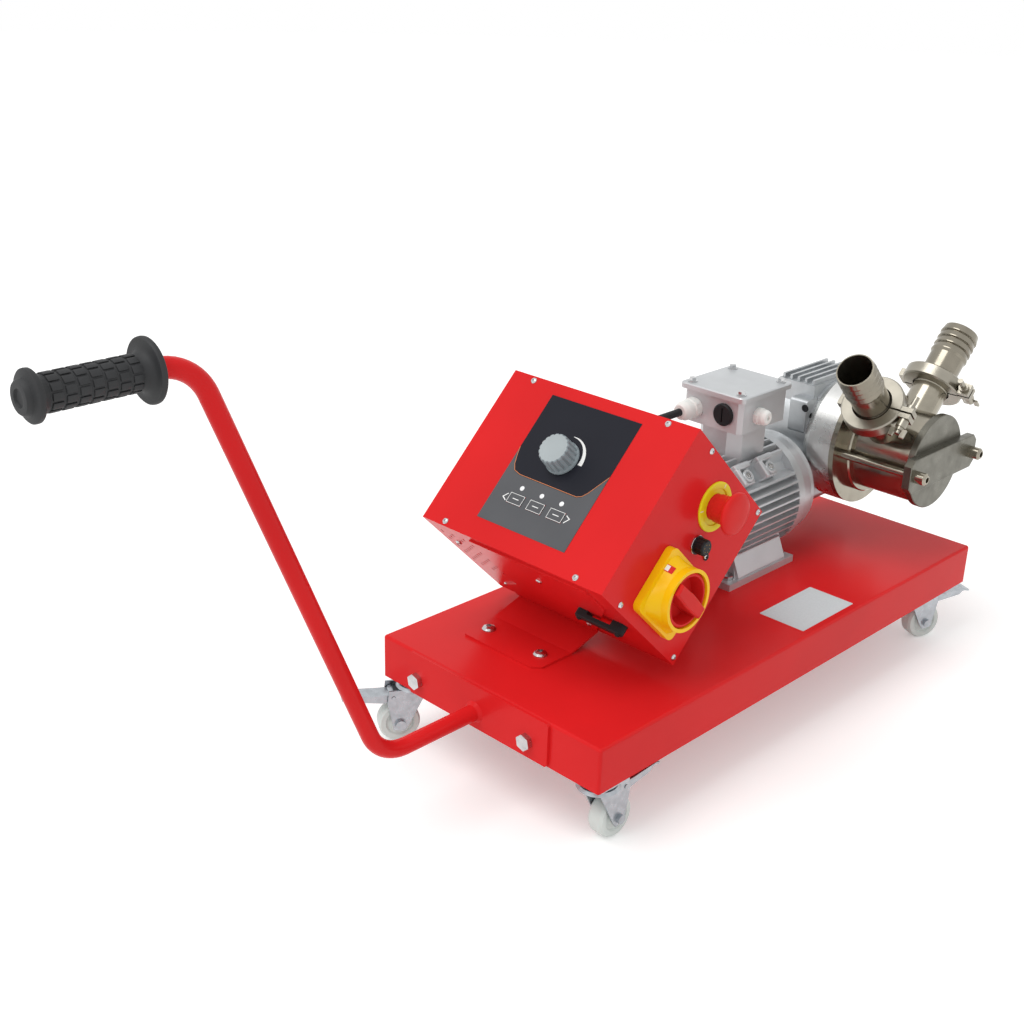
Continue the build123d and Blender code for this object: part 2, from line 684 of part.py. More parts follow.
def make_isolator_knob():
    """Isolator rotor: dished disc with a raised bar handle and its spindle."""
    start = iso_base_t - 2 + running_gap
    disc = turned([(0, start), (iso_knob_r, start), (iso_knob_r, iso_stand - 3), (iso_knob_r - 2, iso_stand - 2),
                   (iso_knob_r - 4, iso_stand - 2), (iso_knob_r - 7, start + 7), (0, start + 7)],
                  on_side(iso_u, iso_w), (1, 0, 0))
    side = Plane(origin=on_side(iso_u, iso_w), x_dir=face_up, z_dir=(1, 0, 0))
    outline = make_face(Polyline((-iso_handle_w / 2, -iso_knob_r + 1.5), (iso_handle_w / 2, -iso_knob_r + 1.5),
                                 (iso_handle_w / 2 + 2, 0), (iso_handle_w / 2, iso_knob_r - 1.5),
                                 (-iso_handle_w / 2, iso_knob_r - 1.5), (-iso_handle_w / 2 - 2, 0), close=True))
    handle = side * (Pos(0, 0, start) * extrude(outline, iso_stand + 5 - start))
    handle = chamfer(handle.faces().sort_by(Axis.X)[-1].edges(), 2.0)
    spindle = rod(iso_spindle_r, 26, on_side(iso_u, iso_w, start + 1 - 26), (1, 0, 0))
    return disc + handle + spindle


def make_connector_socket():
    """Round panel socket with its screwed cap, tether ring and ring screw."""
    place = on_side(socket_u, socket_w)
    body = turned([(0, -12), (socket_r - 2.3, -12), (socket_r - 2.3, 0), (socket_r + 1.5, 0), (socket_r + 1.5, 2.5),
                   (socket_r, 3), (socket_r, socket_h - 2), (socket_r - 2, socket_h), (0, socket_h)], place, (1, 0, 0))
    for i in range(12):
        a = 2 * pi * i / 12
        notch = on_side(socket_u + (socket_r + 0.6) * cos(a), socket_w + (socket_r + 0.6) * sin(a), 5)
        body -= rod(1.3, socket_h, notch, (1, 0, 0))
    ring = tube(4.6, ring_screw_r + cover_gap, 1.5, on_side(ring_u, ring_w), (1, 0, 0))
    screw = button_screw(3.2, 2.0, ring_screw_r, 6, on_side(ring_u, ring_w, 1.5), (1, 0, 0))
    return [body, ring, screw]


def make_cord_bridge():
    """Moulded bridge on the box's underside, one foot on the bracket and one on the box."""
    middle = (bridge_x0 + bridge_x1) / 2
    under = Plane(origin=on_under(middle, bridge_w), x_dir=(1, 0, 0), z_dir=under_out)
    length = bridge_x1 - bridge_x0
    bar = extrude(SlotOverall(length, bridge_wide), bridge_h + bracket_t)
    bar = chamfer(bar.faces().sort_by(Axis.Z)[-1].edges(), 2.0)
    # clears the bracket under the first foot, and leaves a passage between the feet
    bar -= Pos(-length / 2 - 1, 0, -1) * Box(length * 0.75, bridge_wide + 2, bracket_t + 1,
                                             align=(Align.MIN, Align.CENTER, Align.MIN))
    bar -= Pos(0, 0, -1) * Box(length * 0.5, bridge_wide + 2, bracket_t + 5.5,
                               align=(Align.CENTER, Align.CENTER, Align.MIN))
    bar = under * bar
    screws = []
    for x in bridge_screw_x:
        bar -= rod(screw_r + cover_gap, 20, on_under(x, bridge_w, -2), under_out)
        seat = on_under(x, bridge_w, bridge_h + bracket_t)
        screws.append(button_screw(3.6, 2.2, screw_r, bridge_h + bracket_t + 6, seat, under_out))
    return [bar] + screws


# =========================== motor ============================================
def motor_point(y, radius=0.0, angle=0.0):
    """A point about the motor's axis; angle 0 is +X and 90 is up."""
    a = radians(angle)
    return at_deck(motor_x + radius * cos(a), y, motor_axis + radius * sin(a))


def make_motor_housing():
    """Finned stator case with two feet, lifting bosses and the terminal box's neck."""
    length = motor_body_end - fan_end
    start = motor_point(fan_end)
    core = rod(motor_core_r, length, start, (0, 1, 0))
    envelope = rod(motor_fin_r, length, start, (0, 1, 0))
    fins = []
    middle_y = front_y + (fan_end + motor_body_end) / 2
    for i in range(-fin_side, fin_side + 1):
        fins.append(Pos(motor_x, middle_y, deck_top + motor_axis + i * fin_pitch)
                    * Box(2 * motor_fin_r, length, fin_t))
        fins.append(Pos(motor_x + i * fin_pitch, middle_y, deck_top + motor_axis)
                    * Box(fin_t, length, 2 * motor_fin_r))
    body = core + [fin & envelope for fin in fins]
    # feet: pads on the deck and their webs
    for s in (-1, 1):
        x_out, x_in = motor_x + s * foot_half, motor_x + s * (foot_half - 38)
        body += slab(min(x_out, x_in), max(x_out, x_in), front_y + foot_y0, front_y + foot_y1,
                     deck_top, deck_top + foot_t)
        for y in (foot_y0 + 22, (foot_y0 + foot_y1) / 2, foot_y1 - 22):
            web = Polyline((motor_x + s * 50, deck_top + foot_t), (motor_x + s * 80, deck_top + foot_t),
                           (motor_x + s * 66, deck_top + 46), (motor_x + s * 40, deck_top + 46), close=True)
            body += Pos(0, front_y + y + 5, 0) * extrude(Plane.XZ * make_face(web), 10)
    # neck of the terminal box and two bosses beside it
    neck_x = (term_x0 + term_x1) / 2
    neck_y = front_y + (term_y0 + term_y1) / 2
    neck = chamfer(Box(neck_wide, neck_long, term_top - term_lid_t - term_height - motor_axis,
                       align=(Align.CENTER, Align.CENTER, Align.MIN)).edges().filter_by(Axis.Z), 16.0)
    body += Pos(neck_x, neck_y, deck_top + motor_axis) * neck
    for y in boss_y:
        body += rod(boss_r, boss_out - motor_core_r + 8, motor_point(y, motor_core_r - 8, boss_angle),
                    (cos(radians(boss_angle)), 0, sin(radians(boss_angle))))
    for x, y in foot_holes():
        body -= rod(m10_d / 2 + cover_gap, foot_t + 2, at_deck(x, y, -1), (0, 0, 1))
        body -= rod(m10_af * 0.62, 40, at_deck(x, y, foot_t), (0, 0, 1))
    # bore for the rotor and a rear wall that carries the shaft
    body -= rod(stator_bore_r, length, motor_point(fan_end + motor_wall), (0, 1, 0))
    body -= rod(motor_shaft_r + shaft_gap, motor_wall + 2, motor_point(fan_end - 1), (0, 1, 0))
    return body


def make_motor_shield():
    """Drive-end shield: a tapered ring with the front bearing wall."""
    y0 = motor_body_end
    length = shield_end - y0
    return turned([(stator_bore_r, 0), (motor_fin_r - 2, 0), (motor_fin_r - 2, 14), (shield_r, length - 8),
                   (shield_r, length), (motor_shaft_r + shaft_gap, length),
                   (motor_shaft_r + shaft_gap, length - 18), (stator_bore_r, length - 24)],
                  motor_point(y0), (0, 1, 0))


def make_fan_cover():
    """Pressed fan cover with ring-shaped rows of slots in its end."""
    t = 2.0
    cover = turned([(fan_cover_r - t, fan_cover_len), (fan_cover_r, fan_cover_len), (fan_cover_r, 10),
                    (fan_cover_r - 5, 3), (fan_cover_r - 14, 0), (0, 0), (0, t), (fan_cover_r - 14.5, t),
                    (fan_cover_r - 6.5, 4.4), (fan_cover_r - t, 11)], motor_point(motor_y0), (0, 1, 0))
    for ring in range(4):
        radius = 16.0 + 15.0 * ring
        count = 6 + 6 * ring
        for i in range(count):
            cover -= rod(4.0, t + 4, motor_point(motor_y0 - 1, radius, 360.0 * i / count), (0, 1, 0))
    return cover


def make_terminal_box():
    """Open cast terminal box on the motor's neck, with holes for its glands."""
    z1 = term_top - term_lid_t
    z0 = z1 - term_height
    i = term_inset
    box = slab(term_x0 + i, term_x1 - i, front_y + term_y0 + i, front_y + term_y1 - i,
               deck_top + z0, deck_top + z1)
    box = chamfer(box.edges().filter_by(Axis.Z), 6.0)
    w = term_wall + i
    box -= slab(term_x0 + w, term_x1 - w, front_y + term_y0 + w, front_y + term_y1 - w,
                deck_top + z0 + term_wall, deck_top + z1 + 1)
    for x, y in lid_screw_places():
        box += rod(5.5, term_height - 2, at_deck(x, y, z0 + 2), (0, 0, 1))
        box -= rod(lid_screw_r + cover_gap, 16, at_deck(x, y, z1 - 14), (0, 0, 1))
    box -= rod(gland_thread_r + cover_gap, 20, at_deck(gland_x, term_y0 - 5, gland_z), (0, 1, 0))
    box -= rod(plug_thread_r + cover_gap, 20, at_deck(plug_x, term_y0 - 5, plug_z), (0, 1, 0))
    box -= rod(small_thread_r + cover_gap, 20, at_deck(term_x1 - 15, small_gland_y, gland_z), (1, 0, 0))
    return box


def lid_screw_places():
    """The four corners of the terminal lid: x and y from the deck's front."""
    return [(x, y) for x in (term_x0 + 13, term_x1 - 13) for y in (term_y0 + 13, term_y1 - 13)]


def make_terminal_lid():
    """Flat lid of the terminal box."""
    lid = slab(term_x0, term_x1, front_y + term_y0, front_y + term_y1,
               deck_top + term_top - term_lid_t, deck_top + term_top)
    lid = fillet(lid.edges().filter_by(Axis.Z), 8.0)
    lid = chamfer(lid.faces().sort_by(Axis.Z)[-1].edges(), 1.5)
    for x, y in lid_screw_places():
        lid -= rod(lid_screw_r + cover_gap, term_lid_t + 2, at_deck(x, y, term_top - term_lid_t - 1), (0, 0, 1))
    return lid


def make_lid_screws():
    """Hexagon flange screws of the terminal lid."""
    pieces = []
    for x, y in lid_screw_places():
        top = at_deck(x, y, term_top)
        pieces.append(rod(7, 1.6, top, (0, 0, 1)) + hexagon(9, 6, top, (0, 0, 1))
                      + rod(lid_screw_r, 18, top, (0, 0, -1)))
    return pieces


def gland(wide, length, thread_r, start, direction, bore):
    """Cable gland: threaded stub, hexagon body and domed nut over a bore."""
    out = Vector(*direction)
    body = turned([(bore, -8), (thread_r, -8), (thread_r, 0), (wide, 0), (wide, length * 0.36),
                   (wide * 0.93, length * 0.4), (wide * 0.93, length * 0.72), (wide * 0.8, length * 0.92),
                   (wide * 0.66, length), (bore, length)], start, direction)
    nut = hexagon(wide * 1.9, length * 0.3, tuple(Vector(*start) + out * (length * 0.02)), direction, 15)
    nut = nut & rod(wide * 1.04, length, start, direction)
    return body + (nut - rod(bore, length, start, direction))


def make_cable_glands():
    """Three glands: motor cable at the terminal box and at the control box, and a spare."""
    spare_start = at_deck(term_x1 - term_inset, small_gland_y, gland_z)
    spare = gland(small_gland_r, 18, small_thread_r, spare_start, (1, 0, 0), 3.0)
    spare += rod(3.5, 12, at_deck(term_x1 - term_inset + 2, small_gland_y, gland_z), (1, 0, 0))
    return [
        gland(gland_r, gland_len, gland_thread_r, at_deck(gland_x, term_y0 + term_inset, gland_z),
              (0, -1, 0), cable_d / 2),
        gland(gland_r * 0.9, small_gland_len, gland_thread_r, on_top_face(gland_x, box_gland_w), face_up,
              cable_d / 2),
        spare,
    ]


def make_blanking_plug():
    """Slotted round plug in the terminal box's unused opening."""
    start = at_deck(plug_x, term_y0 + term_inset, plug_z)
    plug = turned([(0, -8), (plug_thread_r, -8), (plug_thread_r, 0), (plug_r, 0), (plug_r, 3.5),
                   (plug_r - 2, 5), (0, 5)], start, (0, -1, 0))
    slot = Pos(*at_deck(plug_x, term_y0 + term_inset - 4.6, plug_z)) * Box(2.2, 3, plug_r * 1.3)
    return plug - slot


def cable_path():
    """Centreline of the motor cable, from inside the box to inside the terminal box."""
    inside = on_top_face(gland_x, box_gland_w, -10)
    tip = on_top_face(gland_x, box_gland_w, 0)
    corner_y = tip[1] + (deck_top + gland_z - tip[2]) * tan(radians(box_tilt))
    corner = (gland_x, corner_y, deck_top + gland_z)
    end = at_deck(gland_x, term_y0 + term_inset + 10, gland_z)
    return FilletPolyline(inside, corner, end, radius=cable_bend)


def make_motor_cable():
    """Round cable from the control box to the motor's terminal box."""
    path = cable_path()
    return sweep(Plane(origin=path @ 0, z_dir=path % 0) * Circle(cable_d / 2), path)


# =========================== worm gearbox ========================================
def pump_point(x, radius=0.0, angle=0.0):
    """A point about the pump's axis; angle 0 is +Y and 90 is up."""
    a = radians(angle)
    return (x, front_y + pump_y + radius * cos(a), deck_top + pump_z + radius * sin(a))


def make_gearbox_case():
    """Worm gear case: round wheel housing, worm housing below and the motor flange."""
    x0, x1 = motor_x - gear_half, motor_x + gear_half
    wheel_house = rod(case_r, 2 * gear_half, pump_point(x0), (1, 0, 0))
    low = deck_top + motor_axis - worm_house
    worm_case = slab(x0, x1, front_y + case_y0, front_y + case_y1, low, deck_top + motor_axis + worm_house)
    worm_case = fillet(worm_case.edges().filter_by(Axis.Y).sort_by(Axis.Z)[:2]
                       + worm_case.edges().filter_by(Axis.Z), 12.0)
    case = wheel_house + worm_case
    # top block with cast ribs along the motor's direction
    block = slab(x0 + 4, x1 - 4, front_y + pump_y - 62, front_y + pump_y + 62,
                 deck_top + pump_z, deck_top + pump_z + case_r + 2)
    case += block
    for i in range(-2, 3):
        x = motor_x + i * 13.0
        case += slab(x - 2, x + 2, front_y + pump_y - 58, front_y + pump_y + 58,
                     deck_top + pump_z + case_r, deck_top + pump_z + case_r + 9)
    corner = slab(x1 - 30, x1 - 1, front_y + pump_y - 84, front_y + pump_y - 52,
                  deck_top + pump_z + 14, deck_top + pump_z + 66)
    case += fillet(corner.edges().filter_by(Axis.X), 6.0)
    # flange towards the motor
    flange = turned([(0, 0), (input_flange_r, 0), (input_flange_r, 12), (input_flange_r - 8, 15), (50, 30),
                     (36, case_y0 - shield_end + 4), (0, case_y0 - shield_end + 4)],
                    motor_point(shield_end), (0, 1, 0))
    case += flange
    # hollow for the wheel and the worm, bores for both shafts
    case -= rod(wheel_r + 6, 2 * (gear_half - case_wall), pump_point(x0 + case_wall), (1, 0, 0))
    case -= rod(worm_r + 3, case_y1 - case_y0 - 2 * worm_wall, motor_point(case_y0 + worm_wall), (0, 1, 0))
    case -= rod(motor_shaft_r + shaft_gap, case_y1 - shield_end - 6, motor_point(shield_end - 1), (0, 1, 0))
    case -= rod(output_r + shaft_gap, 2 * gear_half, pump_point(x0 + case_wall - 5), (1, 0, 0))
    case -= rod(5.2, 12, pump_point(x1 - 12, hypot(68, 40), 180 - degrees(atan2(40, 68))), (1, 0, 0))
    return case


def make_worm_shaft():
    """Motor shaft in one line: cooling fan, rotor and worm."""
    y_start = motor_y0 + 12
    shaft = rod(motor_shaft_r, case_y1 - 8 - y_start, motor_point(y_start), (0, 1, 0))
    shaft += rod(stator_bore_r - rotor_air, rotor_len, motor_point(rotor_y0), (0, 1, 0))
    shaft += rod(worm_r, worm_len, motor_point(pump_y - worm_len / 2), (0, 1, 0))
    shaft += rod(30, 14, motor_point(y_start + 6), (0, 1, 0)) + rod(fan_r, 3, motor_point(y_start + 17), (0, 1, 0))
    for i in range(8):
        blade = Box(fan_r - 26, 16, 2.4, align=(Align.MIN, Align.MIN, Align.CENTER))
        shaft += (Pos(*motor_point(y_start + 2)) * Rot(0, 45.0 * i, 0)) * (Pos(26, 0, 0) * blade)
    return shaft


def make_worm_wheel():
    """Worm wheel with its output shaft and the pinion that drives the pump."""
    x0 = motor_x - gear_half + case_wall - 4
    wheel = turned([(0, 0), (output_r, 0), (output_r, 8), (26, 8), (26, gear_half - wheel_width / 2 - 4),
                    (wheel_tip_r, gear_half - wheel_width / 2 - 4), (wheel_tip_r, gear_half + wheel_width / 2 - 4),
                    (26, gear_half + wheel_width / 2 - 4), (26, 60), (output_r, 60),
                    (output_r, pump_x0 - 2 - x0), (pinion_neck_r, pump_x0 - 2 - x0),
                    (pinion_neck_r, pinion_x0 - x0), (0, pinion_x0 - x0)],
                   pump_point(x0), (1, 0, 0))
    return wheel + spur_gear(pinion_teeth, pump_point(pinion_x0), -90.0)


# =========================== pump head =========================================
def shaft_centre(which, x):
    """A point on a pump shaft's axis: the drive shaft is the lower one."""
    return pump_point(x, rotor_pitch, -90.0 if which == "drive" else 90.0)


def spur_gear(teeth, start, tooth_angle):
    """Involute spur gear along +X; one tooth's middle lies at tooth_angle, from Y towards Z."""
    pitch_r = teeth * gear_module / 2
    base_r = pitch_r * cos(radians(20))
    tip_r = pitch_r + (tooth_tip if teeth > 12 else gear_module)
    root_r = pitch_r - tooth_root
    spread = (pi * gear_module / 2 - tooth_thin) / 2 / pitch_r + tan(radians(20)) - radians(20)

    def flank(r):
        turn = acos(base_r / r) if r > base_r else 0.0
        return r, spread - (tan(turn) - turn)

    rise = [flank(r) for r in (root_r, max(root_r + 0.1, base_r), (max(root_r, base_r) + pitch_r) / 2,
                               pitch_r, (pitch_r + tip_r) / 2, tip_r)]
    points = []
    for i in range(teeth):
        middle = radians(tooth_angle) + 2 * pi * i / teeth
        sides = [(r, middle - a) for r, a in rise] + [(r, middle + a) for r, a in reversed(rise)]
        points += [(r * cos(a), r * sin(a)) for r, a in sides]
    plane = Plane(origin=start, x_dir=(0, 1, 0), z_dir=(1, 0, 0))
    return plane * extrude(make_face(Polyline(*points, close=True)), gear_width)


def make_adapter_housing():
    """Two-part gear drum between the worm gearbox and the pump casing."""
    x0 = pump_x0
    seam = x0 + drum_rear_len
    x1 = seam + drum_front_len
    rear = turned([(0, 0), (case_r, 0), (drum_r, drum_rear_len - 8), (drum_r, drum_rear_len),
                   (drum_bore_r, drum_rear_len), (drum_bore_r, drum_wall), (0, drum_wall)],
                  pump_point(x0), (1, 0, 0))
    front = turned([(drum_bore_r, 0), (flange_r, 0), (flange_r, drum_front_len), (0, drum_front_len),
                    (0, drum_front_len - drum_wall), (drum_bore_r, drum_front_len - drum_wall)],
                   pump_point(seam), (1, 0, 0))
    rear -= rod(output_r + shaft_gap + 0.2, drum_wall + 2, pump_point(x0 - 1), (1, 0, 0))
    for which in ("drive", "driven"):
        rear -= rod(pump_shaft_r + shaft_gap, drum_wall, shaft_centre(which, x0 + 3), (1, 0, 0))
        front -= rod(pump_shaft_r + shaft_gap, drum_wall + 2, shaft_centre(which, x1 - drum_wall - 1), (1, 0, 0))
    for s in (-1, 1):
        front -= rod(rod_r + cover_gap, 20, pump_point(x1 - 10, s * rod_y), (1, 0, 0))
    return [rear, front]


def port_plane(side, distance):
    """Plane across a port at a distance from the pump's axis, z outwards; side is -1 or 1."""
    a = radians(port_angle)
    out = (0, side * sin(a), cos(a))
    centre = Vector(*pump_point(port_x)) + Vector(*out) * distance
    return Plane(origin=centre, x_dir=(1, 0, 0), z_dir=out)


def make_pump_casing():
    """Stainless pump casing: rear flange, hub, round body and two welded port stubs."""
    x0 = flange_x0
    body_end = chamber_x0 + chamber_len
    casing = turned([(0, 0), (flange_r, 0), (flange_r, flange_t), (hub_r, flange_t), (hub_r, chamber_x0 - x0 - 2),
                     (hub_r - 2, chamber_x0 - x0), (body_r, chamber_x0 - x0), (body_r, body_end - x0),
                     (0, body_end - x0)], pump_point(x0), (1, 0, 0))
    for side in (-1, 1):
        top = ferrule_dist - gasket_t / 2
        stub = rod(port_out_r, top - 30, tuple(port_plane(side, 30).origin), tuple(port_plane(side, 30).z_dir))
        rim = turned([(port_in_r, top - ferrule_t - 4), (port_out_r, top - ferrule_t - 4), (port_out_r + 1.5, top - ferrule_t),
                      (ferrule_r, top - 3), (ferrule_r, top), (port_in_r, top)],
                     tuple(port_plane(side, 0).origin), tuple(port_plane(side, 0).z_dir))
        casing += stub + rim
    for which in ("drive", "driven"):
        casing -= rod(rotor_tip_r + rotor_gap, chamber_len + 2, shaft_centre(which, chamber_x0), (1, 0, 0))
        casing -= rod(pump_shaft_r + shaft_gap + 0.2, chamber_x0 - x0 + 2, shaft_centre(which, x0 - 1), (1, 0, 0))
        casing -= rod(seal_r, seal_len, shaft_centre(which, x0 - 1), (1, 0, 0))
    for side in (-1, 1):
        casing -= rod(port_in_r, ferrule_dist - 20, tuple(port_plane(side, 36).origin),
                      tuple(port_plane(side, 36).z_dir))
        casing -= rod(rod_r + cover_gap, 40, pump_point(x0 - 1, side * rod_y), (1, 0, 0))
    return casing


def make_pump_cover():
    """Round front cover of the rotor chamber."""
    return turned([(0, 0), (cover_r, 0), (cover_r, cover_t - 1), (cover_r - 1, cover_t), (0, cover_t)],
                  pump_point(cover_x0), (1, 0, 0))


def make_clamp_plate():
    """Bar across the cover, held by the two tie rods."""
    x0 = cover_x0 + cover_t
    y0, z0 = front_y + pump_y, deck_top + pump_z
    bar = slab(x0, x0 + bar_t, y0 - bar_half, y0 + bar_half, z0 - bar_height / 2, z0 + bar_height / 2)
    bar = chamfer(bar.edges().filter_by(Axis.X), 9.0)
    for s in (-1, 1):
        bar -= rod(rod_r + cover_gap, bar_t + 2, pump_point(x0 - 1, s * rod_y), (1, 0, 0))
    return chamfer(bar.faces().sort_by(Axis.X)[-1].outer_wire().edges(), 0.8)


def make_tie_rods():
    """Two tie rods and their cap nuts."""
    x1 = cover_x0 + cover_t + bar_t
    pieces = []
    for s in (-1, 1):
        start = flange_x0 - 8
        pieces.append(rod(rod_r, x1 + 8 - start, pump_point(start, s * rod_y), (1, 0, 0)))
        nut = turned([(0, 0), (cap_nut_r, 0), (cap_nut_r, cap_nut_len - 3), (cap_nut_r - 3, cap_nut_len),
                      (0, cap_nut_len)], pump_point(x1, s * rod_y), (1, 0, 0))
        nut -= rod(rod_r, 8, pump_point(x1, s * rod_y), (1, 0, 0))
        nut -= hexagon(8, 6, pump_point(x1 + cap_nut_len, s * rod_y), (-1, 0, 0))
        pieces.append(nut)
    return pieces


def make_hose_tails():
    """Two hose tails: clamp ferrule, tapered neck and barbed end."""
    tails = []
    for side in (-1, 1):
        plane = port_plane(side, 0)
        b = ferrule_dist + gasket_t / 2
        outline = [(port_in_r, b), (ferrule_r, b), (ferrule_r, b + 3), (port_out_r + 1.5, b + ferrule_t),
                   (port_out_r, b + ferrule_t + 4), (port_out_r, tail_end - barb_pitch * barbs - 4)]
        for i in range(barbs):
            s = tail_end - barb_pitch * (barbs - i)
            outline += [(barb_r, s), (barb_r, s + 1.5), (port_out_r, s + barb_pitch - 1.2)]
        outline[-1] = (port_out_r, tail_end)
        outline += [(port_in_r + 0.8, tail_end), (port_in_r, tail_end - 6)]
        tails.append(turned(outline, tuple(plane.origin), tuple(plane.z_dir)))
    return tails


def make_port_clamps():
    """Two-piece ferrule clamps: half rings, hinge link and swing bolt at each port."""
    pieces = []
    for side in (-1, 1):
        plane = port_plane(side, ferrule_dist)
        half = ferrule_t + gasket_t / 2
        groove = [(port_out_r + 2.4, -clamp_half_w), (clamp_r - 2, -clamp_half_w), (clamp_r, -clamp_half_w + 2),
                  (clamp_r, clamp_half_w - 2), (clamp_r - 2, clamp_half_w), (port_out_r + 2.4, clamp_half_w),
                  (port_out_r + 2.4, half + 0.4), (ferrule_r + 0.4, 4.2), (ferrule_r + 0.4, -4.2),
                  (port_out_r + 2.4, -half - 0.4)]
        ring = revolve(make_face(Plane.XZ * Polyline(*groove, close=True)), Axis.Z, 360)
        ears = Pos(ear_x, 0, 0) * Box(18, 2 * ear_t + clamp_gap, 2 * clamp_half_w - 2)
        hinge = Pos(-clamp_r, 0, 0) * Box(12, 26, 2 * clamp_half_w - 8)
        body = ring + (ears - Cylinder(clamp_r - 4, 40))
        body -= Box(200, clamp_gap, 60)
        body -= Pos(ear_x, 0, 0) * Rot(90, 0, 0) * Cylinder(swing_bolt_r + cover_gap, 60)
        links = (hinge - Cylinder(clamp_r + 0.3, 40)) + Pos(-clamp_r - 4, 0, 0) * Box(5, 22, 2 * clamp_half_w - 8)
        links -= Cylinder(clamp_r + 0.3, 40)
        bolt = Pos(ear_x, 0, 0) * Rot(90, 0, 0) * Cylinder(swing_bolt_r, bolt_len)
        head = Pos(ear_x, -side * (ear_t + clamp_gap / 2 + 3), 0) * Rot(90, 0, 0) * Cylinder(7, 6)
        pieces += [plane * s for s in body.solids()]
        pieces += [plane * links, plane * (bolt + head)]
    return pieces


def make_wing_nut(side):
    """Wing nut on a clamp's swing bolt; it turns on the bolt's axis."""
    plane = port_plane(side, ferrule_dist)
    seat = side * (ear_t + clamp_gap / 2 + running_gap)
    nut = Rot(-90 * side, 0, 0) * (
        Cylinder(7.5, 12, align=(Align.CENTER, Align.CENTER, Align.MIN))
        + Pos(0, 0, 3) * Cylinder(6, 14, align=(Align.CENTER, Align.CENTER, Align.MIN))
        + Pos(0, 0, 14) * Box(24, 3.2, 13, align=(Align.CENTER, Align.CENTER, Align.MIN))
        - Pos(0, 0, 18) * Box(11, 8, 16, align=(Align.CENTER, Align.CENTER, Align.MIN)))
    nut -= Rot(90, 0, 0) * Cylinder(swing_bolt_r + shaft_gap + 0.05, 80)
    return plane * (Pos(ear_x, seat, 0) * nut)


def make_seals():
    """Port gaskets and the two shaft seals."""
    rings = []
    for side in (-1, 1):
        plane = port_plane(side, ferrule_dist - gasket_t / 2)
        rings.append(tube(ferrule_r - 0.5, port_in_r + 0.4, gasket_t, tuple(plane.origin), tuple(plane.z_dir)))
    for which in ("drive", "driven"):
        rings.append(tube(seal_r, pump_shaft_r + shaft_gap + 0.2, seal_len - 1.2, shaft_centre(which, flange_x0),
                          (1, 0, 0)))
    return rings


def lobe_profile(steps=96):
    """Closed outline of a three-lobe rotor: epicycloid tips and hypocycloid roots."""
    r = rotor_pitch / (2 * rotor_lobes)
    points = []
    for i in range(steps):
        t = 2 * pi * i / steps
        part = (t * rotor_lobes / (2 * pi)) * 2 % 2
        k = rotor_pitch / r
        if part < 1:
            x = (rotor_pitch + r) * cos(t) - r * cos((k + 1) * t)
            y = (rotor_pitch + r) * sin(t) - r * sin((k + 1) * t)
        else:
            x = (rotor_pitch - r) * cos(t) + r * cos((k - 1) * t)
            y = (rotor_pitch - r) * sin(t) - r * sin((k - 1) * t)
        # the tip reaches pitch + 2r and the root falls to pitch - 2r; shrink for the clearance
        d = hypot(x, y)
        points.append((x * (d - rotor_gap) / d, y * (d - rotor_gap) / d))
    return points


def make_rotor(which):
    """Three-lobe rotor with its hub bore and nut recess."""
    turn = rotor_turn[which]
    length = chamber_len - 2 * running_gap
    face = make_face(Polyline(*lobe_profile(), close=True))
    solid = extrude(face, length)
    solid -= Cylinder(pump_shaft_r + 0.02, length + 2, align=(Align.CENTER, Align.CENTER, Align.MIN))
    solid -= Pos(0, 0, length - rotor_nut_len - 1) * Cylinder(
        rotor_nut_r + 0.6, rotor_nut_len + 2, align=(Align.CENTER, Align.CENTER, Align.MIN))
    plane = Plane(origin=shaft_centre(which, chamber_x0 + running_gap), x_dir=(0, 1, 0), z_dir=(1, 0, 0))
    return plane * (Rot(0, 0, turn) * solid)


def make_pump_shaft(which):
    """Pump shaft with its timing gear, rotor nut and, below, the gear that the pinion drives."""
    x_start = pump_x0 + 3.4
    x_end = chamber_x0 + chamber_len - 2.0
    shaft = rod(pump_shaft_r, x_end - x_start, shaft_centre(which, x_start), (1, 0, 0))
    timing_teeth = round(2 * rotor_pitch / gear_module)
    drive_teeth = round(2 * drive_gear_r / gear_module)
    toward_mate = 90.0 if which == "drive" else -90.0 + 180.0 / timing_teeth
    shaft += spur_gear(timing_teeth, shaft_centre(which, timing_x0), toward_mate)
    if which == "drive":
        shaft += spur_gear(drive_teeth, shaft_centre(which, pinion_x0), 90.0 + 180.0 / drive_teeth)
    nut_x = chamber_x0 + running_gap + chamber_len - 2 * running_gap - rotor_nut_len - 1
    nut = rod(rotor_nut_r, rotor_nut_len, shaft_centre(which, nut_x), (1, 0, 0))
    nut -= rod(pump_shaft_r, rotor_nut_len - 2, shaft_centre(which, nut_x), (1, 0, 0))
    nut -= hexagon(10, 4, shaft_centre(which, nut_x + rotor_nut_len), (-1, 0, 0))
    return shaft + nut


# =========================== casters =============================================
def in_caster(name, shape):
    """Put a shape from the caster's own frame (x = trailing direction) on the trolley."""
    x, y = caster_place[name]
    return Pos(x, y, 0) * Rot(0, 0, caster_turn[name]) * shape


def up(radius, z0, z1, x=0.0, y=0.0):
    """A vertical cylinder between two heights."""
    return Pos(x, y, z0) * Cylinder(radius, z1 - z0, align=(Align.CENTER, Align.CENTER, Align.MIN))


def across(radius, y0, y1, x, z):
    """A cylinder along Y between two positions."""
    return Pos(x, y0, z) * Rot(-90, 0, 0) * Cylinder(radius, y1 - y0, align=(Align.CENTER, Align.CENTER, Align.MIN))


